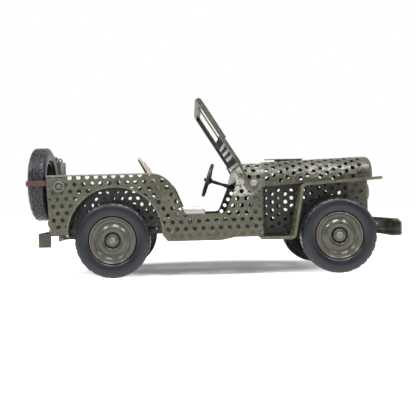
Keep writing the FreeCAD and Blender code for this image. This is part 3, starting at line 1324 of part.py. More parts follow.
def windscreen():
    """Posts and rail, perforated lower panel, two-pane frame, wiper, arms and pivot bolts."""
    rim = [
        ("-screen_half_width", "screen_foot"),
        ("screen_half_width", "screen_foot"),
        ("screen_half_width", "screen_height", "screen_round"),
        ("-screen_half_width", "screen_height", "screen_round"),
    ]
    hole = [
        ("-screen_half_width + post_width", "screen_foot + post_width / 2"),
        ("screen_half_width - post_width", "screen_foot + post_width / 2"),
        ("screen_half_width - post_width", "screen_height - post_width", "screen_round - post_width"),
        ("-screen_half_width + post_width", "screen_height - post_width", "screen_round - post_width"),
    ]
    frame_body = plate("screen_posts", "YZ", rim, "-post_depth / 2", "post_depth")
    pocket(frame_body, "YZ", hole, "post_depth", "2 * post_depth")
    keep(tilt(frame_body), "windscreen_frame")
    inner = "screen_half_width - post_width - fit"
    panel = [
        (f"-({inner})", "screen_foot + post_width / 2 + fit"),
        (inner, "screen_foot + post_width / 2 + fit"),
        (inner, "screen_panel_top"),
        (f"-({inner})", "screen_panel_top"),
    ]
    lower = plate("screen_panel_sheet", "YZ", panel, "-sheet / 2", "sheet")
    keep(tilt(punched("screen_panel_punched", lower, [FORWARD])), "windscreen_panel")
    pane_edge = "screen_half_width - pane_frame_inset"
    pane = [
        (f"-({pane_edge})", "pane_frame_foot"),
        (pane_edge, "pane_frame_foot"),
        (pane_edge, "screen_height - pane_frame_inset", "screen_round - pane_frame_inset"),
        (f"-({pane_edge})", "screen_height - pane_frame_inset", "screen_round - pane_frame_inset"),
    ]
    pane_frame = plate("pane_frame", "YZ", pane, "post_depth / 2 + seam_gap", "pane_frame_depth")
    for sign in (1, -1):
        near = f"{sign} * pane_divider / 2"
        far = f"{sign} * (screen_half_width - post_width - pane_frame_width + pane_frame_inset)"
        light = [
            (near, "pane_frame_foot + pane_frame_width + pane_foot_rise", "pane_round"),
            (far, "pane_frame_foot + pane_frame_width + pane_foot_rise", "pane_round"),
            (far, "screen_height - post_width - pane_top_drop", "pane_round_top"),
            (near, "screen_height - post_width - pane_top_drop", "pane_round"),
        ]
        start = "post_depth + 2 * pane_frame_depth"
        pocket(pane_frame, "YZ", light, start, f"{start} + pane_frame_depth")
    keep(tilt(pane_frame), "windscreen_panes")
    blade = document.addObject("Part::Cylinder", "wiper_rod")
    bind(blade, Radius="wiper_diameter / 2", Height="wiper_length")
    lift = "post_depth / 2 + pane_frame_depth + wiper_diameter / 2 + fit"
    across = "cos(screen_lean)"
    along = "sin(screen_lean)"
    reach = "(screen_height - post_width - wiper_length)"
    turn(blade, FreeCAD.Vector(0, 1, 0), "-screen_lean")
    place(blade, f"screen_x - {reach} * {along} + ({lift}) * {across}", "-wiper_side",
          f"pivot_z + {reach} * {across} + ({lift}) * {along}")
    keep(blade, "wiper")
    outer = "body_half_width + arm_gap"
    arm = [
        ("-arm_width / 2", "screen_foot + arm_width"),
        ("-arm_width / 2", "-arm_width / 2", "arm_width / 2 - fit"),
        ("arm_width / 2", "-arm_width / 2", "arm_width / 2 - fit"),
        ("arm_width / 2", "screen_foot + arm_width"),
    ]
    blade_plate = plate("arm_plate", "XZ", arm, outer, "arm_thickness")
    top = "screen_foot + arm_width"
    face = f"-({outer}) - arm_thickness"
    bridge = box("arm_bridge", ("-arm_width / 2", face, f"{top} - arm_bridge_height"),
                 ("arm_width / 2", "-screen_half_width - fit", top))
    eye = rod("arm_eye", "Y", "pivot_pin_diameter / 2 + running_fit", ("0", f"{face} - overcut", "0"),
              "arm_thickness + 2 * overcut")
    arms = cut("arm_bored", fuse("arm_fused", [blade_plate, bridge]), eye)
    pair_of_arms = together("arms_upright", [arms, mirrored("arm_other", arms)])
    keep(tilt(pair_of_arms), "windscreen_arms")
    past_arm = f"{outer} + arm_thickness + fit"
    pin = rod("pivot_pin", "Y", "pivot_pin_diameter / 2", ("screen_x", f"-({past_arm})", "pivot_z"),
              f"{past_arm} - body_half_width - seam_gap")
    cap = rod("pivot_cap", "Y", "pivot_cap_diameter / 2",
              ("screen_x", f"-({past_arm}) - pivot_cap_rise", "pivot_z"), "pivot_cap_rise")
    half_round = "bracket_radius - seam_gap"
    bracket = plate("pivot_bracket", "XZ", [
        ("screen_x - bracket_radius", "pivot_z + bracket_top"),
        ("screen_x - bracket_radius", "pivot_z - bracket_radius", half_round),
        ("screen_x + bracket_radius", "pivot_z - bracket_radius", half_round),
        ("screen_x + bracket_radius", "pivot_z + bracket_top"),
    ], "body_half_width + seam_gap", "bracket_thickness")
    pair("windscreen_bolts", fuse("pivot_bolt", [pin, cap, bracket]))


def steering():
    """The steering wheel on its shaft, and the fixed column tube through the dash."""
    sloped = "90 + steering_slope"

    def on_axis(item, distance):
        turn(item, FreeCAD.Vector(0, 1, 0), sloped)
        return place(item, f"rear_axle_x + steering_x + ({distance}) * cos(steering_slope)", "steering_side",
                     f"steering_z - ({distance}) * sin(steering_slope)")

    rim = document.addObject("Part::Torus", "steering_rim")
    rim_radius = "steering_wheel_diameter / 2 - steering_rim_diameter / 2"
    bind(rim, Radius1=rim_radius, Radius2="steering_rim_diameter / 2")
    on_axis(rim, "0")
    hub = document.addObject("Part::Cylinder", "steering_hub")
    bind(hub, Radius="wheel_hub_diameter / 2", Height="wheel_hub_length")
    on_axis(hub, "-wheel_hub_back")
    shaft = document.addObject("Part::Cylinder", "steering_shaft")
    bind(shaft, Radius="shaft_diameter / 2", Height="shaft_length")
    on_axis(shaft, "0")
    pieces = [rim, hub, shaft]
    for number in range(3):
        spoke = document.addObject("Part::Cylinder", f"spoke_{number}")
        bind(spoke, Radius="spoke_diameter / 2", Height=rim_radius)
        lean = FreeCAD.Rotation(FreeCAD.Vector(0, 1, 0), size(sloped))
        round_hub = FreeCAD.Rotation(FreeCAD.Vector(0, 0, 1), 60 + 120 * number)
        spoke.Placement.Rotation = lean * round_hub * FreeCAD.Rotation(FreeCAD.Vector(0, 1, 0), 90)
        place(spoke, "rear_axle_x + steering_x", "steering_side", "steering_z")
        pieces.append(spoke)
    keep(fuse("steering_wheel_fused", pieces), "steering_wheel")
    tube = document.addObject("Part::Cylinder", "column_tube")
    bind(tube, Radius="column_diameter / 2", Height="shaft_length - column_start - column_end_gap")
    on_axis(tube, "column_start")
    bore = document.addObject("Part::Cylinder", "column_bore")
    bind(bore, Radius="shaft_diameter / 2 + running_fit", Height="shaft_length")
    on_axis(bore, "column_start - overcut")
    keep(cut("column_hollow", tube, bore), "steering_column")


def seats():
    """Two seats: bent sheet frame, cushion and thin leaning back."""
    x = "rear_axle_x"
    line = [
        (f"{x} + seat_front", "floor_top + fit + sheet / 2"),
        (f"{x} + seat_front", "seat_frame_top - sheet / 2", "seat_frame_round"),
        (f"{x} + seat_rear", "seat_frame_top - sheet / 2", "seat_frame_round"),
        (f"{x} + back_top_x", "back_top_z"),
    ]
    low_y = "-seat_side - seat_width / 2"
    shell = bent("seat_shell", line, "sheet", low_y, "seat_width")
    leg_x = f"{x} + seat_rear + seat_leg_set"
    leg = box("seat_leg", (leg_x, low_y, "floor_top + fit"),
              (f"{leg_x} + sheet", f"{low_y} + seat_width", "seat_frame_top - sheet / 2"))
    pair("seat_frames", fuse("seat_frame", [shell, leg]))
    bottom = "seat_frame_top + cushion_gap"
    cushion = [
        (f"{x} + seat_rear + cushion_rear_gap", bottom, "cushion_round_low"),
        (f"{x} + seat_front + cushion_overhang", bottom, "cushion_round_low"),
        (f"{x} + seat_front + cushion_overhang", f"{bottom} + cushion_height", "cushion_round_top"),
        (f"{x} + seat_rear + cushion_top_gap", f"{bottom} + cushion_height", "cushion_round_top"),
    ]
    pad = plate("cushion_block", "XZ", cushion, "seat_side - seat_width / 2 + cushion_side_gap",
                "seat_width - 2 * cushion_side_gap")
    both_sides("seat_cushion", pad)
    length = "sqrt((seat_rear - back_top_x) ^ 2 + (back_top_z - seat_frame_top) ^ 2)"
    lean = "atan((seat_rear - back_top_x) / (back_top_z - seat_frame_top))"
    back = document.addObject("Part::Box", "seat_back_block")
    bind(back, Length="back_pad", Width="seat_width", Height=f"{length} - back_start")
    turn(back, FreeCAD.Vector(0, 1, 0), f"-{lean}")
    away = "(sheet / 2 + cushion_gap)"
    place(back, f"{x} + seat_rear - back_start * sin({lean}) + {away} * cos({lean})", low_y,
          f"seat_frame_top - sheet / 2 + back_start * cos({lean}) + {away} * sin({lean})")
    both_sides("seat_back", back)


def rear_load():
    """What hangs on the rear panel: carrier, strap, fuel can in its tray, tail lamps; and the side bosses."""
    panel = "rear_axle_x - tub_rear"
    carrier = rod("carrier_post", "X", "carrier_diameter / 2",
                  ("spare_x + rim_width / 2 + fit", "-spare_side", "spare_z"),
                  f"{panel} - fit - (spare_x + rim_width / 2 + fit)")
    keep(carrier, "spare_carrier")
    back = "rear_axle_x - rear_overhang"
    near = "-spare_side - tyre_diameter / 2 - strap_gap"
    far = "-spare_side + tyre_diameter / 2 + strap_gap"
    strap = [
        (f"{panel} - fit", far),
        (f"{back} + strap_thickness", far, "strap_round"),
        (f"{back} + strap_thickness", near, "strap_round"),
        (f"{panel} - fit", near),
        (f"{panel} - fit", f"{near} - strap_thickness"),
        (back, f"{near} - strap_thickness", "strap_round + strap_thickness"),
        (back, f"{far} + strap_thickness", "strap_round + strap_thickness"),
        (f"{panel} - fit", f"{far} + strap_thickness"),
    ]
    keep(plate("strap_band", "XY", strap, "spare_z - strap_height / 2", "strap_height"), "spare_strap")
    can_front = f"{panel} - sheet - can_gap"
    outline = [
        (f"{can_front} - can_depth", "can_side - can_width / 2", "can_round"),
        (can_front, "can_side - can_width / 2", "can_round"),
        (can_front, "can_side + can_width / 2", "can_round"),
        (f"{can_front} - can_depth", "can_side + can_width / 2", "can_round"),
    ]
    can = plate("can_block", "XY", outline, "can_bottom", "can_height")
    top = "can_bottom + can_height"
    middle = f"{can_front} - can_depth / 2"
    start = (middle, "can_side - can_width / 2 + can_cap_diameter", f"{top} - overcut")
    spout = rod("can_cap", "Z", "can_cap_diameter / 2", start, "can_cap_rise + overcut")
    pieces = [can, spout]
    grip_start = "can_side - can_width / 2 + 2 * can_cap_diameter"
    grip_end = "can_side + can_width / 2 - can_round"
    grip_length = f"{grip_end} - ({grip_start})"
    for number in (-1, 0, 1):
        start = (f"{middle} + {number} * can_grip_spread", grip_start, f"{top} + can_grip_rise")
        pieces.append(rod(f"can_grip_{number + 1}", "Y", "can_grip_diameter / 2", start, grip_length))
    half_post = "(can_grip_spread + can_grip_diameter / 2)"
    for number, y in enumerate((grip_start, f"{grip_end} - can_grip_diameter")):
        low = (f"{middle} - {half_post}", y, f"{top} - overcut")
        high = (f"{middle} + {half_post}", f"{y} + can_grip_diameter", f"{top} + can_grip_rise")
        pieces.append(box(f"can_grip_post_{number}", low, high))
    keep(fuse("can_fused", pieces), "fuel_can")
    tray_low = "can_bottom - can_tray_seat_gap"
    near = "can_side - can_width / 2 - can_tray_gap"
    far = "can_side + can_width / 2 + can_tray_gap"
    inside = f"{can_front} - can_depth - can_tray_gap"
    tray = box("can_tray", (f"{inside} - sheet", f"{near} - sheet", f"{tray_low} - sheet"),
               (f"{panel} + can_tray_lap", f"{far} + sheet", f"{tray_low} + can_tray_lip"))
    room = box("can_tray_room", (inside, near, tray_low),
               (f"{can_front} + can_tray_seat_gap", far, f"{tray_low} + 2 * can_tray_lip"))
    keep(cut("can_tray_hollow", tray, room), "fuel_can_tray")
    lamp_x = f"{panel} + tub_rake * (tub_top - lamp_z) / (tub_top - tub_tail_z)"
    lamp = turned("tail_lamp_turned", lamp_outline("lamp_diameter / 2", "lamp_rise"))
    lamp.Placement.Rotation = FreeCAD.Rotation(UP, 90)
    pair("tail_lamps", place(lamp, f"{lamp_x} - 3 * fit", "-lamp_side", "lamp_z"))
    boss = rod("side_boss", "Y", "boss_diameter / 2",
               ("rear_axle_x - boss_back", "-body_half_width - boss_rise - seam_gap", "boss_z"), "boss_rise")
    pair("side_bosses", boss)


wheels()
axles()
frame()
tub()
hood()
engine_bay()
fender()
windscreen()
steering()
seats()
rear_load()
document.recompute()

for item in document.Objects:
    if "Invalid" in item.State or "Error" in item.State:
        raise ValueError(f"{item.Name} did not build: {item.State}")
for item in parts:
    if item.Shape.isNull() or not item.Shape.isValid():
        raise ValueError(f"{item.Label} has no valid shape")

os.makedirs("parts", exist_ok=True)
for item in parts:
    item.Shape.exportStep(f"parts/{item.Label}.step")
print(len(parts), "parts")
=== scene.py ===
"""Looks of a hand-made model of an open army 4x4 car in perforated sheet steel."""

import math
from functools import partial

import bmesh
import bpy
import numpy as np
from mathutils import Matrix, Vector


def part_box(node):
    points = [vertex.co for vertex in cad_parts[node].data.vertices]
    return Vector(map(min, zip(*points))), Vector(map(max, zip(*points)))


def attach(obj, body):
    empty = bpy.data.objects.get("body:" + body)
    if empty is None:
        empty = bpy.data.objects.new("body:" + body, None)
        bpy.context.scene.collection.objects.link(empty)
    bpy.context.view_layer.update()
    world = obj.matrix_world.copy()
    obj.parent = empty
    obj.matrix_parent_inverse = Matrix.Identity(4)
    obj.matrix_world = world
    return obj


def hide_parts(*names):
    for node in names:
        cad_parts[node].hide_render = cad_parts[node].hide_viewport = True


bl_info = {
    "name": "Perforated army car",
    "version": (1, 0, 0),
    "blender": (4, 5, 0),
    "location": "3D View > Sidebar > Army car",
    "description": "Tyres, rims, pads, fittings, finishes and stage of a perforated sheet steel model car",
    "category": "Object",
}

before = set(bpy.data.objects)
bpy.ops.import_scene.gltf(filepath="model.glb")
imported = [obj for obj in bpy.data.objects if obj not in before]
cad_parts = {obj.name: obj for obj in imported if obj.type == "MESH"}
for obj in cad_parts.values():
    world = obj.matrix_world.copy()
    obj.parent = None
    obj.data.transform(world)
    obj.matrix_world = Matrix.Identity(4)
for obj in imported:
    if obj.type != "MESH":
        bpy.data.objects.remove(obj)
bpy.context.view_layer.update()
MM = 0.001


def low_high(node):
    """The lowest and highest corner of a node in millimetres."""
    low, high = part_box(node)
    return np.array(low) / MM, np.array(high) / MM


def middle(node):
    """The middle of a node's box in millimetres."""
    return sum(low_high(node)) / 2


def half_size(node):
    """Half of a node's length, width and height in millimetres."""
    low, high = low_high(node)
    return (high - low) / 2


REAR_X = middle("rear_tyre_right")[0]
FRONT_X = middle("front_tyre_right")[0]
TYRE_HALF_WIDTH, TYRE_RADIUS = half_size("rear_tyre_right")[1:]
RIM_RADIUS = half_size("rear_rim_right")[2]
TUB_TOP = low_high("tub_side_right")[1][2]
TUB_SIDE = -low_high("tub_side_right")[0][1]
SIDEWAYS = np.array((0.0, 1.0, 0.0))
SCREEN_LEAN = math.radians(32)
SCREEN_PIVOT = np.array((REAR_X + 126.9, 0.0, 82.3))
SCREEN_UP = np.array((-math.sin(SCREEN_LEAN), 0, math.cos(SCREEN_LEAN)))
SCREEN_OUT = np.array((math.cos(SCREEN_LEAN), 0, math.sin(SCREEN_LEAN)))
HOLE_PITCH, HOLE_ROW, HOLE_RADIUS = 7.8, 6.26, 2.0
ROW_LEAN = math.radians(1.2)
BENT_EDGE = 17.0
ARCH_RADIUS = 43.2
ARCH_MIDDLE = (REAR_X + 3.0, 39.3)
HOOD_BEND = 16.5
HOOD_NOSE_HALF_WIDTH = 44.3
HOOD_RISE = 4.3
INNER_SHADE = 0.9
COLUMN_LEAN = math.radians(18)
STUFFING_FRAMES = 20
PHOTO_PIXELS = 416
PHOTO_FOCAL = 673.4
PHOTO_CENTRE = (188.6, 203.0)
CAMERA_PLACE = (-0.0229, -0.6702, 0.0659)
CAMERA_TILT = math.radians(1.38)


# Shapes


def unit(rows):
    """Each row of an array brought to a length of 1."""
    return rows / np.linalg.norm(rows, axis=-1, keepdims=True)


def hump(values, centre, width):
    """A smooth hump of height 1, exp(-((v - centre) / width)^2)."""
    return np.exp(-(((values - centre) / width) ** 2))


def softened(points, cut, steps=4):
    """A line with its corners rounded: each becomes (1-t)^2 start + 2t(1-t) corner + t^2 end, whose ends lie
    `cut` away from the corner, or halfway to the next one."""
    points = np.asarray(points, float)
    legs = np.diff(points, axis=0)
    reach = unit(legs) * np.minimum(cut, np.linalg.norm(legs, axis=1)[:, None] * 0.5)
    start = points[1:-1] - reach[:-1]
    end = points[1:-1] + reach[1:]
    t = np.linspace(0, 1, steps + 1)[None, :, None]
    curve = (1 - t) ** 2 * start[:, None] + 2 * t * (1 - t) * points[1:-1, None] + t**2 * end[:, None]
    return np.concatenate([points[:1], curve.reshape(-1, points.shape[1]), points[-1:]])


def grid_faces(rows, columns, rows_closed=False, columns_closed=False):
    """The quads of a grid of points, which wrap round where it is closed."""
    i = np.arange(rows if rows_closed else rows - 1)[:, None]
    j = np.arange(columns if columns_closed else columns - 1)[None, :]
    below = (i + 1) % rows
    right = (j + 1) % columns
    corners = (i * columns + j, below * columns + j, below * columns + right, i * columns + right)
    return np.stack(np.broadcast_arrays(*corners), -1).reshape(-1, 4).tolist()


def tube(rings):
    """Rings of points joined into a closed tube, with a face over each end."""
    rings = np.asarray(rings)
    rows, count = rings.shape[:2]
    ends = [list(range(count)), list(range((rows - 1) * count, rows * count))]
    return rings, grid_faces(rows, count, columns_closed=True) + ends


def make_piece(name, grids, sharp=32.0):
    """One mesh object from (points in millimetres, faces) pairs, doubles merged and faces turned outwards."""
    points, faces, start = [], [], 0
    for part_points, part_faces in grids:
        points.append(np.reshape(part_points, (-1, 3)))
        faces += [[start + corner for corner in face] for face in part_faces]
        start += len(points[-1])
    mesh = bpy.data.meshes.new(name)
    mesh.from_pydata((np.concatenate(points) * MM).tolist(), [], faces)
    work = bmesh.new()
    work.from_mesh(mesh)
    bmesh.ops.remove_doubles(work, verts=work.verts, dist=2e-6)
    bmesh.ops.dissolve_degenerate(work, edges=work.edges, dist=1e-6)
    bmesh.ops.recalc_face_normals(work, faces=work.faces)
    work.to_mesh(mesh)
    work.free()
    mesh.shade_smooth()
    mesh.set_sharp_from_angle(angle=math.radians(sharp))
    piece = bpy.data.objects.new(name, mesh)
    bpy.context.scene.collection.objects.link(piece)
    return piece


def square_to(outward):
    """Two directions that are square to a third and to each other."""
    v = unit(np.cross(outward, (0.0, 0.0, 1.0) if abs(outward[2]) < 0.9 else (1.0, 0.0, 0.0)))
    return np.cross(v, outward), v


def round_about(radius, along, turns, centre, outward):
    """Points at centre + along * outward + radius * (cos a * u + sin a * v), u and v square to outward."""
    u, v = square_to(outward)
    angle = (np.asarray(turns) * 2 * np.pi)[None, :, None]
    radius, along = (np.reshape(values, (len(values), -1, 1)) for values in (radius, along))
    return np.asarray(centre) + along * np.asarray(outward) + radius * (np.cos(angle) * u + np.sin(angle) * v)


def turned(outline, centre, outward, count=64, closed=False):
    """A (radius, along) outline turned about an axis."""
    points = round_about(*np.transpose(outline), np.arange(count) / count, centre, outward)
    return points, grid_faces(len(outline), count, closed, True)


def bar(path, section, hint=(0, 0, 1)):
    """A closed section carried along a path: point = path + s * side + h * up, where side = hint x way."""
    path = np.asarray(path, float)
    section = np.asarray(section, float)
    way = unit(np.gradient(path, axis=0))
    side = unit(np.cross(hint, way))
    up = np.cross(way, side)
    return tube(path[:, None] + section[None, :, :1] * side[:, None] + section[None, :, 1:] * up[:, None])


def oval(half_width, half_height, count=12):
    """A section round an oval."""
    angle = np.arange(count) / count * 2 * np.pi
    return np.stack([np.cos(angle) * half_width, np.sin(angle) * half_height], -1)


def strip(half, low, high):
    """A four-sided section."""
    return [(-half, low), (half, low), (half, high), (-half, high)]


def screw_head(centre, outward, radius, rise, slot=0.2, cross=True, flat=0.0):
    """A domed screw head with a slot or a cross: a square grid folded onto a disc by
    x = a sqrt(1 - b^2 / 2) and y = b sqrt(1 - a^2 / 2), raised by rise * sqrt(1 - r^2), and sunk where a
    coordinate lies inside the slot."""
    seat, slot_end, slot_depth, foot_depth = 0.35, 0.8, 0.45, 0.3
    marks = np.array([-1, -0.93, -0.75, -0.5, -slot - 0.05, -slot, 0, slot, slot + 0.05, 0.5, 0.75, 0.93, 1])
    a, b = np.meshgrid(marks, marks, indexing="ij")
    x = a * np.sqrt(1 - b**2 / 2)
    y = b * np.sqrt(1 - a**2 / 2)
    far = np.clip(np.hypot(x, y), flat, 1)
    height = rise * (seat + (1 - seat) * np.sqrt(1 - far**2 + 1e-9))
    sunk = (np.abs(a) <= slot) & (np.abs(b) < slot_end)
    if cross:
        sunk |= (np.abs(b) <= slot) & (np.abs(a) < slot_end)
    height -= slot_depth * rise * sunk
    u, v = square_to(outward)
    top = centre + (x[..., None] * u + y[..., None] * v) * radius + height[..., None] * outward
    top = top.reshape(-1, 3)
    n = len(marks)
    index = np.arange(n * n).reshape(n, n)
    border = np.concatenate([index[0], index[1:, -1], index[-1, -2::-1], index[-2:0:-1, 0]])
    foot = n * n + np.arange(len(border))
    sides = np.stack([border, np.roll(border, -1), np.roll(foot, -1), foot], -1)
    points = np.concatenate([top, top[border] - (seat * rise + foot_depth) * outward])
    return points, grid_faces(n, n) + sides.tolist() + [foot.tolist()]


def nut(centre, outward, across, rise, sides=6):
    """A nut with a chamfered top. Its radius is across / (2 cos(pi / n)), and less at the chamfer."""
    corner = across / 2 / math.cos(math.pi / sides)
    outline = [(0, -0.3), (corner, -0.3), (corner, rise * 0.75), (corner * 0.86, rise), (0, rise)]
    return turned(outline, centre, outward, count=sides)


# Finishes


def node(tree, kind, links=None, **settings):
    """A shader node with its settings, and its inputs joined to sockets or set to values."""
    made = tree.nodes.new(kind)
    for key, value in settings.items():
        setattr(made, key, value)
    for key, value in (links or {}).items():
        value = getattr(value, "socket", value)
        if isinstance(value, bpy.types.NodeSocket):
            tree.links.new(value, made.inputs[key])
        else:
            made.inputs[key].default_value = value
    return made


class Number:
    """A number in a shader's tree. Each sign used on it adds a Math node, also beside a number of numpy's."""

    __array_ufunc__ = None

    def __init__(self, socket):
        self.socket = socket
        self.tree = socket.id_data

    def __add__(self, other):
        return maths("ADD", self, other)

    def __sub__(self, other):
        return maths("SUBTRACT", self, other)

    def __rsub__(self, other):
        return maths("SUBTRACT", other, self)

    def __mul__(self, other):
        return maths("MULTIPLY", self, other)

    def __truediv__(self, other):
        return maths("DIVIDE", self, other)

    def __rtruediv__(self, other):
        return maths("DIVIDE", other, self)

    def __abs__(self):
        return maths("ABSOLUTE", self)

    __radd__ = __add__
    __rmul__ = __mul__


class Place:
    """A place in a shader's tree, whose "X", "Y" and "Z" are numbers in metres."""

    def __init__(self, socket):
        self.socket = socket
        self.tree = socket.id_data

    def __getitem__(self, axis):
        return Number(node(self.tree, "ShaderNodeSeparateXYZ", {0: self}).outputs[axis])


def maths(operation, *values, clamp=False):
    """The result of a Math node on a tree's numbers and plain ones."""
    tree = next(value.tree for value in values if isinstance(value, Number))
    links = dict(enumerate(values))
    return Number(node(tree, "ShaderNodeMath", links, operation=operation, use_clamp=clamp).outputs[0])


def greatest(first, second):
    """The greater of two numbers."""
    return maths("MAXIMUM", first, second)


def distance(a, b):
    """sqrt(a^2 + b^2)."""
    return maths("SQRT", a * a + b * b)


def mapped(place, **settings):
    """A place moved, turned or stretched."""
    return Place(node(place.tree, "ShaderNodeMapping", {"Vector": place, **settings}).outputs[0])


def noise(place, size, detail, stretch=None):
    """Noise whose lumps are about `size` metres across, drawn out along an axis by `stretch`."""
    if stretch:
        place = mapped(place, Scale=stretch)
    links = {"Vector": place, "Scale": 1 / size, "Detail": detail, "Roughness": 0.55}
    return Number(node(place.tree, "ShaderNodeTexNoise", links).outputs["Fac"])


def between(value, low, high):
    """0 below low, 1 above high and smooth between them."""
    links = {"Value": value, "From Min": low, "From Max": high}
    return Number(node(value.tree, "ShaderNodeMapRange", links, interpolation_type="SMOOTHSTEP").outputs[0])


def mixed(share, first, second):
    """The first colour where share is 0, and the second where it is 1."""
    colours = [item if isinstance(item, bpy.types.NodeSocket) else (*item, 1) for item in (first, second)]
    links = {0: share, 6: colours[0], 7: colours[1]}
    return node(share.tree, "ShaderNodeMix", links, data_type="RGBA").outputs[2]


def paler(colour, share):
    """A colour with all its channels scaled."""
    return tuple(min(1.0, channel * share) for channel in colour)


def effect(name, given, make):
    """A node group that is fed a place (None) or numbers (their defaults), and gives the numbers that `make`
    works out from them."""
    tree = bpy.data.node_groups.new(name, "ShaderNodeTree")
    for label, default in given.items():
        kind = "Vector" if default is None else "Float"
        socket = tree.interface.new_socket(label, in_out="INPUT", socket_type=f"NodeSocket{kind}")
        if default is not None:
            socket.default_value = default
    inputs = tree.nodes.new("NodeGroupInput").outputs
    results = make(*[(Place if given[label] is None else Number)(inputs[label]) for label in given])
    for label in results:
        tree.interface.new_socket(label, in_out="OUTPUT", socket_type="NodeSocketFloat")
    ends = tree.nodes.new("NodeGroupOutput").inputs
    for label, value in results.items():
        tree.links.new(value.socket, ends[label])


def use(name, **links):
    """A node group placed beside what feeds it, and its outputs as numbers."""
    tree = next(value.tree for value in links.values() if hasattr(value, "tree"))
    made = node(tree, "ShaderNodeGroup", links, node_tree=bpy.data.node_groups[name])
    return {socket.name: Number(socket) for socket in made.outputs}


def toned(share, base, low, high):
    """A colour from `low` times its base where the share is 0 to `high` times where it is 1."""
    return mixed(share, paler(base, low), paler(base, high))


def chips(place, amount):
    """The pale chips on a finish."""
    return use("Chips and dust", Vector=place, Amount=amount)["Mask"]


def hand_laid_paint(place, stroke):
    """Uneven hand-laid paint: broad tone patches, short strokes, and a fine height for its surface."""
    strokes = noise(place, 0.0016, 3, (0.22, 1.0, 1.0))
    patches = (noise(place, 0.016, 2) - 0.5) * 1.5
    specks = (noise(place, 0.0011, 1) - 0.5) * 1.3
    tone = maths("ADD", patches + specks + (strokes - 0.5) * stroke, 0.5, clamp=True)
    return {"Tone": tone, "Height": strokes * 0.7 + noise(place, 0.0005, 2) * 0.3}


def chips_and_dust(place, amount):
    """Small pale chips and dust specks, in patches."""
    level = 0.74 - amount * noise(place, 0.011, 2)
    return {"Mask": between(noise(place, 0.0009, 1) - level, 0.0, 0.06)}


def punched_holes(along, across, pitch, row, radius):
    """Rings round punched holes set in staggered rows. The distance to the nearest hole is the lesser of
    those to two square patterns, each sqrt(pingpong(along, pitch / 2)^2 + pingpong(across, row)^2), half a
    step apart."""
    half = pitch * 0.5
    ways = []
    for step in (0, 1):
        x = maths("PINGPONG", along + half * step, half)
        y = maths("PINGPONG", across + row * step, row)
        ways.append(distance(x, y))
    away = maths("MINIMUM", *ways) - radius
    return {"Ring": 1.0 - between(away, 0.0001, 0.00055), "Shade": 1.0 - between(away, 0.0003, 0.0016)}


def round_the_bend(y, z, half, top, bend):
    """The way round a bent sheet from the middle of its top: min(|y|, h - r) + r atan2(a, b) + what lies
    below the bend, where a and b are the distances past the start of the bend. The depth is
    r - sqrt(a^2 + b^2)."""
    side = abs(y)
    flat = half - bend
    level = z - (top - bend)
    a = greatest(side - flat, 0.0)
    b = greatest(level, 0.0)
    girth = maths("MINIMUM", side, flat) + maths("ARCTAN2", a, b) * bend + greatest(level * -1.0, 0.0)
    return {"Girth": girth, "Depth": bend - distance(a, b)}


def woven_cloth(place, thread):
    """Plain woven cloth: two crossing wave patterns, one along X + Z and one along Y."""
    turn = math.pi / thread
    waves = [abs(maths("SINE", way * turn)) for way in (place["X"] + place["Z"], place["Y"])]
    return {"Threads": waves[0] * waves[1]}


def make_effects():
    """The node groups that the finishes share."""
    effect("Hand laid paint", {"Vector": None, "Stroke": 0.5}, hand_laid_paint)
    effect("Chips and dust", {"Vector": None, "Amount": 0.5}, chips_and_dust)
    holes = {"Pitch": HOLE_PITCH * MM, "Row": HOLE_ROW * MM, "Radius": HOLE_RADIUS * MM}
    effect("Punched holes", {"Along": 0.0, "Across": 0.0, **holes}, punched_holes)
    sheet = {"Half": TUB_SIDE * MM, "Top": TUB_TOP * MM, "Bend": BENT_EDGE * MM}
    effect("Round the bent sheet", {"Y": 0.0, "Z": 0.0, **sheet}, round_the_bend)
    effect("Woven cloth", {"Vector": None, "Thread": 0.0005}, woven_cloth)


def surface(name, base, roughness, more=None):
    """A material with its shader's inputs set, and its Object coordinates."""
    material = bpy.data.materials.new(name)
    material.use_nodes = True
    inputs = material.node_tree.nodes["Principled BSDF"].inputs
    for key, value in {"Base Color": (*base, 1), "Roughness": roughness, **(more or {})}.items():
        inputs[key].default_value = value
    return material, Place(node(material.node_tree, "ShaderNodeTexCoord").outputs["Object"])


def painted(material, colour, gloss, height, strength, depth):
    """The material with its colour, its roughness and the height for its bump joined to the shader."""
    tree = material.node_tree
    inputs = tree.nodes["Principled BSDF"].inputs
    tree.links.new(colour, inputs["Base Color"])
    if gloss is not None:
        tree.links.new(gloss.socket, inputs["Roughness"])
    made = node(tree, "ShaderNodeBump", {"Height": height, "Strength": strength, "Distance": depth})
    tree.links.new(made.outputs[0], inputs["Normal"])
    return material


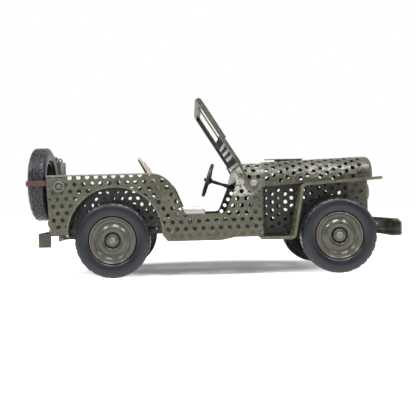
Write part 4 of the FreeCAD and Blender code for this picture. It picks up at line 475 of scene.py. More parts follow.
def olive(name, looks, tone=1.0, stroke=0.5, specks=0.5, rough=0.0,
          holes=None, worn=None, rust=None, dark=None):
    """Satin olive paint: patches and strokes, chips and dust, rust, wear and painted sheen that turn it grey,
    painted shade on inner and rear faces and, where the sheet's hole pattern is given, a darker band, spots
    and a paler paint roll with a painted highlight round each hole."""
    base = paler(looks.olive, tone)
    material, place = surface(name, base, looks.paint_roughness)
    laid = use("Hand laid paint", Vector=place, Stroke=stroke)
    low, high = (np.multiply(base, share) for share in ((0.62, 0.56, 0.5), (1.42, 1.5, 1.62)))
    colour = mixed(laid["Tone"], low, high)
    height = laid["Height"]
    gloss = laid["Tone"] * 0.2 + (looks.paint_roughness - 0.09 + rough)
    if holes:
        pattern = holes(place)
        colour = mixed(pattern["Shade"] * noise(place, 0.009, 2) * 0.5, colour, paler(base, 0.42))
        spots = between(pattern["Shade"] * noise(place, 0.006, 1), 0.6, 0.72)
        colour = mixed(spots * 0.6, colour, looks.primer)
        # paler ring round each hole: a paint roll on the burr, lightened as a painted highlight
        colour = mixed(pattern["Ring"] * 0.45, colour, paler(base, 1.9))
        height = height + pattern["Ring"] * 1.6
    colour = mixed(chips(place, specks) * 0.55, colour, paler(base, 2.6))
    if rust:
        colour = mixed(rust(place) * between(noise(place, 0.005, 3), 0.4, 0.62), colour, looks.primer)
    # wear, and on the hood and the cowl's shoulder also painted sheen, turns the paint grey
    if worn:
        share = maths("MULTIPLY", worn(place), noise(place, 0.004, 2) + 0.25, clamp=True)
        colour = mixed(share, colour, looks.bare_edge)
        gloss = gloss - share * 0.12
    # painted shade: inner faces of the sheets and rear faces of the windscreen frame darkened
    if dark:
        colour = mixed(dark(place), colour, paler(base, 0.25))
    return painted(material, colour, gloss, height, 0.35, 0.00025)


def rows_at(x, z):
    """The hole rows of the tub's sides, which rise a little towards the front."""
    x = x - (REAR_X - 36.4) * MM
    z = z - (TUB_TOP - 2.5) * MM
    along = x * math.cos(ROW_LEAN) + z * math.sin(ROW_LEAN)
    across = z * math.cos(ROW_LEAN) - x * math.sin(ROW_LEAN)
    return use("Punched holes", Along=along, Across=across)


def tub_rows(place):
    """The tub's hole rows at a place on its side."""
    return rows_at(place["X"], place["Z"])


def hood_sheet(place):
    """The way round the hood and the depth in its sheet, whose half width and top change evenly along it."""
    low, high = low_high("hood")
    share = (place["X"] - low[0] * MM) / ((high[0] - low[0]) * MM)
    half = high[1] * MM - share * ((high[1] - HOOD_NOSE_HALF_WIDTH) * MM)
    top = share * (HOOD_RISE * MM) + (high[2] - HOOD_RISE) * MM
    return use("Round the bent sheet", Y=place["Y"], Z=place["Z"], Half=half, Top=top, Bend=HOOD_BEND * MM)


def hood_hoops(place):
    """The hoops of holes round the hood."""
    across = place["X"] - (low_high("hood")[0][0] + 3.2) * MM
    return use("Punched holes", Along=hood_sheet(place)["Girth"], Across=across)


def cowl_sheet(place):
    """The way round the cowl and the depth in its sheet."""
    half = (TUB_SIDE - 0.3) * MM
    top = (low_high("cowl")[1][2] - 0.3) * MM
    return use("Round the bent sheet", Y=place["Y"], Z=place["Z"], Half=half, Top=top, Bend=BENT_EDGE * MM)


def cowl_rows(place):
    """The cowl's rows of holes, which carry on from the tub's and go round the bent top."""
    top = low_high("cowl")[1][2] - 0.3
    round_top = TUB_SIDE - 0.3 - BENT_EDGE + math.pi / 2 * BENT_EDGE + top - BENT_EDGE
    return rows_at(place["X"], round_top * MM - cowl_sheet(place)["Girth"])


def inside_of(sheet):
    """A pattern that finds the inner face of a bent sheet, which is darkened as painted shade."""
    return lambda place: between(sheet(place)["Depth"], 0.0005, 0.0008) * INNER_SHADE


def tub_inside(place):
    """The inner faces of the tub's sides and of its rear panel, darkened as painted shade."""
    side = maths("LESS_THAN", abs(place["Y"]), (TUB_SIDE - 0.8) * MM)
    rear = maths("GREATER_THAN", place["X"], (low_high("rear_panel")[0][0] + 0.5) * MM)
    return side * rear * INNER_SHADE


def patch(place, centre, reach):
    """1 inside an upright ellipse (x, z) in millimetres, fading to 0 past its border."""
    x = (place["X"] - centre[0] * MM) / (reach[0] * MM)
    z = (place["Z"] - centre[1] * MM) / (reach[1] * MM)
    return 1.0 - between(distance(x, z), 0.65, 1.35)


def pivot_scuffs(place):
    """Paint rubbed pale below and behind the windscreen's pivots."""
    rubbed = patch(place, (REAR_X + 117.0, 79.0), (14.5, 7.5))
    return rubbed * between(noise(place, 0.0022, 3), 0.34, 0.54) * 1.5


def cowl_scuffs(place):
    """The rubbed places by the pivots, and slanted pale streaks on the cowl's shoulder, partly rubbed paint
    and partly a painted glancing highlight.
    """
    slanted = mapped(place, Rotation=(0, math.radians(38), 0))
    # painted glancing highlight in streaks along the cowl's shoulder, mixed with rubbed paint
    streaks = between(noise(slanted, 0.0019, 2, (0.14, 0.5, 1.0)), 0.46, 0.6)
    return greatest(between(place["Z"], 0.092, 0.0965) * streaks * 0.75, pivot_scuffs(place))


def tub_wear(place):
    """Wear along the tub's rolled top edge, the lip of its wheel arch and the rubbed places by the pivots."""
    top = between(place["Z"], (TUB_TOP - 1.5) * MM, (TUB_TOP - 1.1) * MM)
    away = distance(place["X"] - ARCH_MIDDLE[0] * MM, place["Z"] - ARCH_MIDDLE[1] * MM)
    lip = 1.0 - between(away, ARCH_RADIUS * MM, (ARCH_RADIUS + 0.5) * MM)
    return greatest(greatest(top * 0.45, lip * 0.12), pivot_scuffs(place))


def hood_sheen(place):
    """Paint rubbed to grey on the hood's sides behind its nose, and in streaks further back, partly a painted
    sheen.
    """
    # painted sheen mixed with rubbed paint on the hood's sides
    nose = patch(place, (FRONT_X - 12.0, 93.0), (30.0, 6.5))
    back = patch(place, (FRONT_X - 50.0, 91.5), (26.0, 4.5)) * 0.3
    return greatest(nose, back) * between(noise(place, 0.0018, 3, (0.35, 1, 1)), 0.42, 0.6) * 0.75


def screen_grime(place):
    """The windscreen frame's inner and rear faces, darkened as painted shade: all that lies neither on its
    front face nor on its outermost sides."""
    # painted shade on the frame's inner and rear faces
    front, side = 1.45 * MM, 65.85 * MM
    x = place["X"] - SCREEN_PIVOT[0] * MM
    z = place["Z"] - SCREEN_PIVOT[2] * MM
    out = x * math.cos(SCREEN_LEAN) + z * math.sin(SCREEN_LEAN)
    return maths("LESS_THAN", out, front) * maths("LESS_THAN", abs(place["Y"]), side) * 0.85


def grille_rust(place):
    """Reddish wear under the fenders, at the top of the grille's sides."""
    return between(place["Z"], 0.074, 0.083) * 0.8


def marked(name):
    """A pattern that reads the numbers marked on a piece's points."""
    return lambda place: Number(node(place.tree, "ShaderNodeAttribute", attribute_name=name).outputs["Fac"])


def dark_metal(name, base, roughness, specular=0.5):
    """Near-black paint over steel, with dust and faint strokes."""
    material, place = surface(name, base, roughness, {"Specular IOR Level": specular})
    laid = use("Hand laid paint", Vector=place, Stroke=0.7)
    colour = toned(laid["Tone"], base, 0.6, 1.7)
    colour = mixed(chips(place, 0.3) * 0.5, colour, (0.16, 0.15, 0.13))
    return painted(material, colour, laid["Tone"] * 0.2 + (roughness - 0.1), laid["Height"], 0.3, 0.0002)


def brushed_sheet(name, base):
    """Pale sheet with long darker streaks, which rise evenly towards its side edges; its paleness is partly
    brushed metal and partly painted light.
    """
    material, place = surface(name, base, 0.45, {"Specular IOR Level": 0.3})
    links = {"Y": place["Y"] * 0.02, "Z": place["Z"] + abs(place["Y"]) * 0.1}
    drawn = Place(node(place.tree, "ShaderNodeCombineXYZ", links).outputs[0])
    streaks = between(noise(drawn, 0.0026, 1), 0.42, 0.54)
    return painted(material, mixed(streaks, paler(base, 0.16), base), None, streaks, 0.5, 0.0003)


def bare_metal(name, base, roughness):
    """Bare steel with fine scratches and dull patches."""
    material, place = surface(name, base, roughness, {"Metallic": 1.0})
    scratches = noise(place, 0.0007, 3, (0.15, 1, 1))
    colour = toned(noise(place, 0.004, 2), base, 0.6, 1.25)
    return painted(material, colour, scratches * 0.3 + (roughness - 0.12), scratches, 0.3, 0.0001)


def rubber(name, base):
    """Dark blue-grey rubber, smooth and a little shiny on the sidewalls, with dust where the tread is cut and
    painted shade in the tread's grooves.
    """
    material, place = surface(name, base, 0.36, {"Specular IOR Level": 0.36})
    broad = noise(place, 0.014, 2)
    colour = toned(broad, base, 0.6, 1.45)
    # painted shade in the grooves and shoulders of the tread
    colour = mixed(marked("groove")(place) * 0.75, colour, paler(base, 0.3))
    colour = mixed(chips(place, 0.4) * marked("tread")(place) * 0.2, colour, (0.16, 0.16, 0.16))
    return painted(material, colour, broad * 0.2 + 0.24, noise(place, 0.0012, 2), 0.12, 0.0001)


def leather(name, base, stitch_rows=None, shade_below=None):
    """Leather with a fine grain, darker creases and, for the strap, a row of pale stitches near each edge.
    A pad that reaches down into the tub is darkened as painted shade below `shade_below` millimetres."""
    material, place = surface(name, base, 0.5)
    links = {"Vector": place, "Scale": 1100.0}
    height = Number(node(place.tree, "ShaderNodeTexVoronoi", links).outputs["Distance"])
    patches = noise(place, 0.006, 3)
    colour = toned(patches, base, 0.65, 1.4)
    if stitch_rows:
        line = abs(abs(place["Z"] - stitch_rows[0] * MM) - stitch_rows[1] * MM)
        dash = between(maths("PINGPONG", place["X"] + place["Y"], 0.0006), 0.0002, 0.00028)
        stitches = (1.0 - between(line, 0.0001, 0.0002)) * dash
        colour = mixed(stitches * 0.8, colour, paler(base, 3.0))
        height = height + stitches * 1.5
    # painted shade: the pad darkens towards its foot inside the tub
    if shade_below:
        painted_shade = 1.0 - between(place["Z"], (shade_below - 7.0) * MM, shade_below * MM)
        colour = mixed(painted_shade * 0.93, colour, paler(base, 0.06))
    return painted(material, colour, patches * 0.3 + 0.38, height, 0.3, 0.0002)


def cloth(name, base, thread):
    """Woven cloth: threads in the colour and the height, faint stains, and a soft sheen."""
    sheen = {"Specular IOR Level": 0.3, "Sheen Weight": 0.25, "Sheen Roughness": 0.5}
    material, place = surface(name, base, 0.85, sheen)
    threads = use("Woven cloth", Vector=place, Thread=thread)["Threads"]
    colour = toned(threads, base, 0.72, 1.06)
    colour = mixed(between(noise(place, 0.012, 3), 0.5, 0.8) * 0.25, colour, paler(base, 0.6))
    return painted(material, colour, None, threads, 0.6, 0.0002)


def lamp_glass(name, base, rib):
    """Moulded lamp glass: ribs across it, and a clear gloss over its colour."""
    coat = {"Specular IOR Level": 0.6, "Coat Weight": 0.6, "Coat Roughness": 0.08}
    material, place = surface(name, base, 0.12, coat)
    colour = toned(noise(place, 0.003, 2), base, 0.7, 1.3)
    return painted(material, colour, None, maths("SINE", place["Y"] * (2 * math.pi / rib)), 0.5, 0.0003)


# Pieces


def mark(piece, name, values):
    """Writes one number for each point of a piece as a named attribute."""
    attribute = piece.data.attributes.new(name, "FLOAT", "POINT")
    attribute.data.foreach_set("value", np.full(len(piece.data.vertices), values, np.float32))


def dress(piece, body, slot, finish, stands_for=None, wear=None):
    """Gives a new piece its finish, its body and its wear, and hides the node that it stands for. The slot is
    not used.
    """
    piece.data.materials.clear()
    piece.data.materials.append(bpy.data.materials[finish])
    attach(piece, body)
    if stands_for:
        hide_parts(stands_for)
    if wear is not None:
        mark(piece, "wear", wear)


def fitted(name, grids, *how, sharp=32.0, **more):
    """A new piece made from its grids and dressed."""
    piece = make_piece(name, grids, sharp)
    dress(piece, *how, **more)
    return piece


def points_of(piece):
    """A piece's points in millimetres."""
    points = np.empty(len(piece.data.vertices) * 3)
    piece.data.vertices.foreach_get("co", points)
    return points.reshape(-1, 3) / MM


def move_points(piece, points):
    """Moves a piece's points to places in millimetres."""
    piece.data.vertices.foreach_set("co", (points * MM).ravel())
    piece.data.update()


def about_axis(piece, centre, outward):
    """A piece's points from a centre, with their distances along an axis and from it."""
    flat = points_of(piece) - centre
    along = flat @ outward
    return flat, along, np.linalg.norm(flat - along[:, None] * outward, axis=1)


def wheel_parts(kind):
    """The name, the body, the middle and the outward direction of each of the five tyres or rims."""
    ends = ("front_{}_right", "front_{}_left", "rear_{}_right", "rear_{}_left")
    wheels = [(end.format(kind), end.format("wheel")) for end in ends]
    for name, body in [*wheels, (f"spare_{kind}", "body")]:
        centre = middle(name.replace(kind, "tyre"))
        outward = (-1.0, 0.0, 0.0) if body == "body" else (0.0, math.copysign(1, centre[1]), 0.0)
        yield name, body, centre, np.array(outward)


# Sizes and colours that a user would change


COLOUR = partial(bpy.props.FloatVectorProperty, subtype="COLOR", size=3, min=0, max=1)
SHARE = partial(bpy.props.FloatProperty, subtype="FACTOR", min=0, max=1)
LENGTH = partial(bpy.props.FloatProperty, subtype="DISTANCE", unit="LENGTH", precision=4)
POWER = partial(bpy.props.FloatProperty, subtype="POWER", unit="POWER", min=0, max=200)


class ArmyCarLooks(bpy.types.PropertyGroup):
    """Colours, tread, padding and light of the model car."""

    olive: COLOUR(
        name="Olive paint", description="Satin paint on the sheet steel", default=(0.058, 0.057, 0.036))
    primer: COLOUR(
        name="Rust", description="Reddish brown that shows where paint is worn", default=(0.16, 0.075, 0.05))
    # grey of rubbed paint, also used for the painted sheen on the hood and the cowl's shoulder
    bare_edge: COLOUR(
        name="Worn edge and sheen", description="Greyish tone of rubbed edges and painted sheen", default=(0.42, 0.41, 0.37))
    paint_roughness: SHARE(name="Paint roughness", description="Roughness of the satin paint", default=0.38)
    rubber: COLOUR(name="Rubber", description="Colour of the tyres", default=(0.0075, 0.0088, 0.013))
    strap: COLOUR(name="Strap", description="Colour of the spare wheel's strap", default=(0.052, 0.02, 0.013))
    beige: COLOUR(
        name="Cushion cloth", description="Colour of the seat cushions", default=(0.82, 0.79, 0.745))
    tan: COLOUR(name="Back pads", description="Colour of the seat backs", default=(0.5, 0.41, 0.31))
    tread_blocks: bpy.props.IntProperty(
        name="Tread blocks", description="Blocks round each tyre", min=12, max=80, default=26)
    tread_depth: LENGTH(
        name="Tread depth", description="Depth of the grooves between the blocks", min=0, max=0.003,
        default=0.00055)
    pad_voxel: LENGTH(
        name="Pad voxel", description="Voxel size of the pads at ten times their size, before stuffing",
        min=0.002, max=0.02, default=0.006)
    pad_pressure: bpy.props.FloatProperty(
        name="Pad pressure", description="Pressure that fills the pads", min=0, max=20, default=4.0)
    key_power: POWER(name="Key light", description="Power of the large light overhead", default=11.0)
    fill_power: POWER(name="Fill light", description="Power of the light beside the camera", default=4.5)
    glint_power: POWER(
        name="Side lights", description="Power of each small light above one end of the car", default=4.0)
    ambient: SHARE(name="Ambient", description="Strength of the light from all round", default=0.4)


NODE_FINISHES = {
    "black steel": "steering_wheel steering_column front_axle rear_axle wiper front_springs rear_springs "
                   "tie_rod knuckle_right knuckle_left",
    "bare steel": "spring_pins",
    "olive tub side": "tub_side_right tub_side_left",
    "olive cowl": "cowl",
    "olive hood": "hood",
    "olive windscreen": "windscreen_frame windscreen_panes",
    "olive bumperette": "rear_bumperette_right rear_bumperette_left",
    "olive rear panel": "rear_panel",
    "olive grille": "grille",
    # a darker copy of the olive paint, as painted shade, for sheets inside the body and under the fenders
    "dark inner sheet": "engine_sides wheelhouse_right wheelhouse_left floor firewall dash",
    "olive frame": "frame_rail_right frame_rail_left crossmembers spare_carrier seat_frames",
    "olive bumper": "front_bumper",
}


class ArmyCarFinishes(bpy.types.Operator):
    """Make the finishes and give each sheet, beam and fitting of the frame its own"""

    bl_idname = "army_car.finishes"
    bl_label = "Finishes"

    def execute(self, context):
        looks = context.scene.army_car_looks
        make_effects()
        wear = marked("wear")
        olive("olive sheet", looks)
        olive("olive tub side", looks, tone=0.8, holes=tub_rows, worn=tub_wear, dark=tub_inside)
        inside = inside_of(cowl_sheet)
        olive("olive cowl", looks, tone=0.9, holes=cowl_rows, worn=cowl_scuffs, dark=inside, rough=-0.06)
        inside = inside_of(hood_sheet)
        olive("olive hood", looks, tone=0.78, holes=hood_hoops, worn=hood_sheen, dark=inside, rough=-0.04)
        olive("olive rear panel", looks, dark=tub_inside)
        # painted shade: the olive paint at a quarter of its tone for the sheets in shade inside the body
        olive("dark inner sheet", looks, tone=0.26, specks=0.35)
        # the dash face is pale, partly brushed metal and partly painted light
        brushed_sheet("brushed dash", (0.62, 0.6, 0.55))
        olive("olive grille", looks, tone=0.7, rust=grille_rust)
        olive("olive windscreen", looks, tone=0.95, stroke=0.9, dark=screen_grime)
        olive("olive bumperette", looks, tone=0.45, stroke=1.2)
        olive("olive fittings", looks, stroke=0.8, specks=0.4, worn=wear)
        olive("olive rim", looks, tone=0.9, stroke=0.1, specks=0.1, rough=-0.2,
              worn=wear, rust=marked("rust"))
        olive("olive frame", looks, tone=0.6, stroke=0.8, worn=wear)
        olive("olive bumper", looks, tone=1.3, stroke=1.3)
        dark_metal("black steel", (0.016, 0.017, 0.019), 0.42)
        olive("rusty doubler", looks, tone=0.75, stroke=0.8, specks=0.3, rust=lambda place: 0.9)
        dark_metal("grey mesh", (0.06, 0.06, 0.07), 0.8, specular=0.04)
        bare_metal("bare steel", (0.42, 0.41, 0.4), 0.42)
        rubber("tyre rubber", looks.rubber)
        leather("tan pad leather", looks.tan, shade_below=92.0)
        leather("strap leather", looks.strap, stitch_rows=(middle("spare_strap")[2], 1.7))
        cloth("beige cushion cloth", looks.beige, 0.0006)
        lamp_glass("red lamp glass", (0.32, 0.028, 0.018), 0.0011)
        lamp_glass("headlamp glass", (0.5, 0.5, 0.48), 0.0014)
        finish_for = {name: finish for finish, names in NODE_FINISHES.items() for name in names.split()}
        for name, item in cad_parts.items():
            item.data.materials.clear()
            item.data.materials.append(bpy.data.materials[finish_for.get(name, "olive sheet")])
        return {"FINISHED"}


class ArmyCarTyres(bpy.types.Operator):
    """Make the five tyres with their block tread and moulded sidewalls"""

    bl_idname = "army_car.tyres"
    bl_label = "Tyres"

    def execute(self, context):
        looks = context.scene.army_car_looks
        blocks = looks.tread_blocks
        half = TYRE_HALF_WIDTH
        top = TYRE_RADIUS
        bead = RIM_RADIUS + 0.12
        control = [(bead, 4.9), (bead + 0.9, 6.9), (bead + 3.2, half - 0.45), (27.2, half + 0.02),
                   (30.4, half - 0.35), (32.4, half - 1.25), (top - 0.45, 5.95), (top - 0.12, 5.4)]
        wall = softened(control, 9.0, 3)
        wall[:, 1] = np.minimum(wall[:, 1], half - 0.02)
        wall = wall[np.r_[True, np.linalg.norm(np.diff(wall, axis=0), axis=1) > 0.05]]
        marks = np.array([3.2, 3.1, 2.85, 2.6, 2.5, 1.3, 0.32, 0.22])
        tread = np.stack([top - 0.12 * (marks / 5.4) ** 2, marks], -1)
        side = np.concatenate([wall, [[top - 0.06, 4.3]], tread])
        profile = np.concatenate([side, [[top, 0.0]], side[::-1] * (1, -1)])
        edge = np.gradient(profile, axis=0)
        normal = unit(np.stack([-edge[:, 1], edge[:, 0]], -1))
        normal *= np.sign(normal[len(normal) // 2, 0])
        radius, across = profile.T
        place = np.abs(across)
        rib = np.interp(place, [0, 0.22, 0.32, 2.5, 2.6, 3.1, 3.2, 9], [0, 0, 1, 1, 0, 0, 1, 1])
        rib = np.where(radius > top - 0.2, rib, 1.0)
        shoulder = np.clip((radius - 32.3) / 1.3, 0, 1)
        steps = np.array([0, 0.07, 0.12, 0.38, 0.43, 0.5, 0.57, 0.62, 0.88, 0.93])
        turns = ((np.arange(blocks)[:, None] + steps) / blocks).ravel()
        phase = np.tile(steps, blocks)
        first = np.interp(phase, [0, 0.07, 0.12, 0.88, 0.93, 1], [0, 0, 1, 1, 0, 0])
        second = np.interp(phase, [0, 0.38, 0.43, 0.57, 0.62, 1], [1, 1, 0, 0, 1, 1])
        swap = (across > 0) ^ (place > 2.85)
        block = np.where(swap[:, None], first, second)
        cut = looks.tread_depth / MM * (1 - rib[:, None] * block) * shoulder[:, None]
        rings = 0.16 * hump(radius, 24.0, 0.32) + 0.2 * hump(radius, 29.9, 0.4)
        push = rings[:, None] - cut
        radii = radius[:, None] + normal[:, :1] * push
        alongs = np.clip(across[:, None] + normal[:, 1:] * push, -half + 0.01, half - 0.01)
        faces = grid_faces(len(profile), len(turns), True, True)
        for name, body, centre, outward in wheel_parts("tyre"):
            grids = [(round_about(radii, alongs, turns, centre, outward), faces)]
            piece = fitted(f"{name}_moulded", grids, body, "tyre_rubber", "tyre rubber", name, sharp=38)
            along, reach = about_axis(piece, centre, outward)[1:]
            # marks where the tread sinks, for painted shade in its grooves
            mark(piece, "groove", np.clip((top - 0.35 - reach) / 0.4, 0, 1) * (np.abs(along) < 5.6))
            mark(piece, "tread", reach > top - 1.6)
        return {"FINISHED"}


class ArmyCarRims(bpy.types.Operator):
    """Make the five rims, with their rolled lip, bead, bowed dish and hub cap"""

    bl_idname = "army_car.rims"
    bl_label = "Rims"

    def execute(self, context):
        edge = RIM_RADIUS
        face = 6.0
        front = [
            (0.0, 1.1), (2.9, 1.1), (3.3, 0.7), (4.9, 0.75), (5.7, 0.3), (5.8, -3.2), (7.1, -3.2),
            (7.2, -0.3), (8.0, 0.35), (9.6, 0.85), (11.6, 0.75), (13.2, -0.1), (14.3, -1.1), (15.3, -1.35),
            (16.1, -0.85), (16.9, 0.05), (18.7, 0.2), (19.4, -0.1), (19.9, 0.6), (20.4, 1.0),
            (edge - 0.05, 0.9), (edge, 0.5)]
        back = [
            (edge, -face), (edge - 1.1, -face), (edge - 2.2, -face + 4.4), (7.4, -face + 4.4), (7.4, -face),
            (2.06, -face), (2.06, face - 1.1), (0.0, face - 1.1),
        ]
        outline = np.concatenate([softened(np.add(front, (0, face)), 0.9, 5), back])
        for name, body, centre, outward in wheel_parts("rim"):
            screw = screw_head(centre + outward * (face + 1.0), outward, 2.7, 1.0, slot=0.16, flat=0.3)
            grids = [turned(outline, centre, outward, 96), screw]
            piece = fitted(f"{name}_spun", grids, body, "rim_paint", "olive rim", name)
            flat, along, reach = about_axis(piece, centre, outward)
            lip = hump(reach, 20.5, 0.4) * (along > face)
            mark(piece, "wear", 0.25 * lip + 0.5 * (reach < 2.9) * (along > face))
            mark(piece, "rust", 0.9 * lip * (flat[:, 2] + 0.55 * flat[:, 0] < 4))
        return {"FINISHED"}


class ArmyCarScrews(bpy.types.Operator):
    """Make the screws, rings and nuts that hold the sheets, the windscreen and the bumpers"""

    bl_idname = "army_car.screws"
    bl_label = "Screws and nuts"

    def execute(self, context):
        rings, discs, brackets, heads = [], [], [], []
        angle = np.linspace(np.pi, 2 * np.pi, 33)
        radius = 8.2
        arc = np.stack([radius * np.cos(angle), radius * np.sin(angle)], -1)
        plate = np.concatenate([[(-radius, 3.6)], arc, [(radius, 3.6)]])
        boss = middle("side_bosses")
        for y in (-1, 1):
            outward = y * SIDEWAYS
            centre = boss * (1, 0, 1) + outward * (TUB_SIDE - 0.25)
            ring = [(3.5, 0.0), (3.5, 1.15), (3.8, 1.5), (4.6, 1.5), (4.9, 1.15), (4.9, 0.0), (3.5, 0.0)]
            rings.append(turned(softened(ring, 0.25), centre, outward, 48, closed=True))
            rings.append(nut(centre, outward, 4.2, 1.3))
            rings.append(screw_head(centre + outward * 1.2, outward, 1.5, 0.6, flat=0.2))
            discs.append(turned([(0, 0.0), (3.6, 0.0), (3.6, 0.45), (0, 0.45)], centre, outward, 48))
            pivot = SCREEN_PIVOT + outward * (TUB_SIDE - 0.3)
            sheet = []
            for inset, level in ((0, 0.05), (0, 0.4), (0.15, 0.55)):
                x, z = (plate * (radius - inset) / radius).T
                sheet.append(pivot + np.stack([x, np.full(len(x), y * level), z], -1))
            brackets.append(tube(sheet))
            stem = [(0, 0.3), (1.1, 0.3), (1.1, 1.7), (2.9, 1.7), (3.0, 2.1), (0, 2.3)]
            heads.append(turned(stem, pivot, outward, 40))
            heads.append(screw_head(pivot + outward * 2.1, outward, 2.3, 1.35, slot=0.16, cross=False))
        how = ("body", "olive_paint", "olive fittings")
        fitted("side_bosses_ringed", rings, *how, "side_bosses", wear=0.15)
        fitted("side_boss_hollows", discs, "body", "dark_steel", "black steel")
        fitted("pivot_brackets", brackets, *how, "windscreen_bolts", wear=0.15)
        fitted("pivot_screws", heads, *how, wear=0.95)
        spots = ((-54.6, 44.0), (47.0, 52.0), (53.6, 40.2), (133.6, 38.2))
        for side, y in (("right", -1), ("left", 1)):
            places = [(REAR_X + x, y * TUB_SIDE, z) for x, z in spots]
            grids = [screw_head(place, y * SIDEWAYS, 1.25, 0.55, cross=False) for place in places]
            fitted(f"tub_screws_{side}", grids, *how, wear=0.3)
        level = middle("front_bumper")[2]
        face = low_high("front_bumper")[1][0] - 0.02
        forward = np.array((1.0, 0.0, 0.0))
        grids = []
        for y in (-37.0, -31.0, 31.0, 37.0):
            centre = np.array((face, y, level))
            grids.append(turned([(0, -0.3), (2.1, -0.3), (2.1, 0.0), (0, 0.0)], centre, forward, 24))
            grids.append(nut(centre - forward * 0.9, forward, 2.8, 0.85))
        fitted("bumper_nuts", grids, *how, wear=0.4)
        return {"FINISHED"}


def pad_block(low, high):
    """The six sides of a block as grids of 9 by 9 points."""
    grids = []
    for axis in range(3):
        for end in (low[axis], high[axis]):
            lines = [np.linspace(a, b, 9) for a, b in zip(low, high)]
            lines[axis] = [end]
            grids.append((np.stack(np.meshgrid(*lines, indexing="ij"), -1), grid_faces(9, 9)))
    return grids


def settled(piece):
    """Puts what a piece's modifiers make of it into its mesh."""
    graph = bpy.context.evaluated_depsgraph_get()
    mesh = bpy.data.meshes.new_from_object(piece.evaluated_get(graph))
    piece.modifiers.clear()
    piece.data = mesh


def stuffed(name, low, high, looks, cap, lift=10.0):
    """A pad made as a sewn bag is: a block at ten times its size is remeshed, filled by Cloth pressure over
    some frames, its points held to `cap` millimetres of movement, and brought back to size. Gives the
    piece, still large, and its points at their real size."""
    piece = make_piece(name, pad_block(np.asarray(low) * lift, np.asarray(high) * lift))
    remesh = piece.modifiers.new("Remesh", "REMESH")
    remesh.mode = "VOXEL"
    remesh.voxel_size = looks.pad_voxel
    settled(piece)
    before = points_of(piece)
    bag = piece.modifiers.new("Cloth", "CLOTH")
    bag.settings.use_pressure = True
    bag.settings.uniform_pressure_force = looks.pad_pressure
    bag.settings.effector_weights.gravity = 0
    bag.point_cache.frame_start = 1
    bag.point_cache.frame_end = STUFFING_FRAMES
    for step in range(STUFFING_FRAMES):
        bpy.context.scene.frame_set(step + 1)
    settled(piece)
    bpy.context.scene.frame_set(1)
    move = points_of(piece) - before
    far = np.linalg.norm(move, axis=1)[:, None]
    return piece, (before + move * np.minimum(1, cap * lift / np.maximum(far, 1e-9))) / lift


def sewn(piece, points, fill, *how):
    """A stuffed pad with its points in place, smoothed and dressed."""
    move_points(piece, points)
    piece.data.shade_smooth()
    finer = piece.modifiers.new("Subdivision", "SUBSURF")
    finer.levels = finer.render_levels = 1
    dress(piece, "body", *how)


def make_cushion(side, looks):
    """A seat cushion with a seam round its middle, a crowned top and two sewn channels."""
    name = f"seat_cushion_{side}"
    low, high = low_high(name)
    x, y = middle(name)[:2]
    half_x, half_y, seam, channel = 17.0, 21.0, 0.52, 6.6
    piece, points = stuffed(f"{name}_sewn", low + (3.2, 0.9, 0.6), high - (0.9, 0.9, 1.1), looks, 0.9)
    height = (points[:, 2] - low[2]) / (high[2] - low[2])
    rim = np.maximum(np.abs(points[:, 0] - x) / (half_x - 1.5), np.abs(points[:, 1] - y) / (half_y - 1.5))
    shrink = 1 - 0.014 * hump(height, seam, 0.09) * np.clip((rim - 0.8) / 0.2, 0, 1)
    points[:, :2] = (x, y) + (points[:, :2] - (x, y)) * shrink[:, None]
    crown = np.cos(np.clip((points[:, 0] - x) / half_x, -1, 1) * np.pi / 2)
    crown *= np.cos(np.clip((points[:, 1] - y) / half_y, -1, 1) * np.pi / 2)
    channels = sum(hump(points[:, 1] - y, line, 0.55) for line in (-channel, channel))
    points[:, 2] += np.where(height > 0.6, 0.9 * crown - 0.45 * channels, 0)
    points[:, 2] = np.maximum(points[:, 2], low[2] + 0.02)
    sewn(piece, points, 0.7, "beige_cushion", "beige cushion cloth", name)


def make_back(side, looks):
    """A thin back pad with three sewn rows, stuffed upright and then leaned back about its foot."""
    name = f"seat_back_{side}"
    low, high = low_high(name)
    lean = math.atan2(28.4, 52.6)
    thick = 2.2
    length = (high[2] - low[2] - thick * math.sin(lean)) / math.cos(lean)
    start = (0.25, low[1] + 0.5, 0.5)
    piece, points = stuffed(f"{name}_sewn", start, (thick - 0.3, high[1] - 0.5, length - 0.5), looks, 0.35)
    rows = sum(hump(points[:, 2], length * share, 0.5) for share in (0.26, 0.5, 0.74))
    out = np.maximum(points[:, 0] - 0.3 * rows * (points[:, 0] > thick / 2), 0.03)
    up = points[:, 2].copy()
    points[:, 0] = high[0] - thick * math.cos(lean) + out * math.cos(lean) - up * math.sin(lean)
    points[:, 2] = low[2] + out * math.sin(lean) + up * math.cos(lean)
    sewn(piece, points, 0.5, "tan_pad", "tan pad leather", name)


class ArmyCarSeats(bpy.types.Operator):
    """Make the beige cushions and the thin tan back pads, stuffed, seamed and set on their frames"""

    bl_idname = "army_car.seats"
    bl_label = "Seat pads"

    def execute(self, context):
        looks = context.scene.army_car_looks
        for side in ("right", "left"):
            make_cushion(side, looks)
            make_back(side, looks)
        return {"FINISHED"}


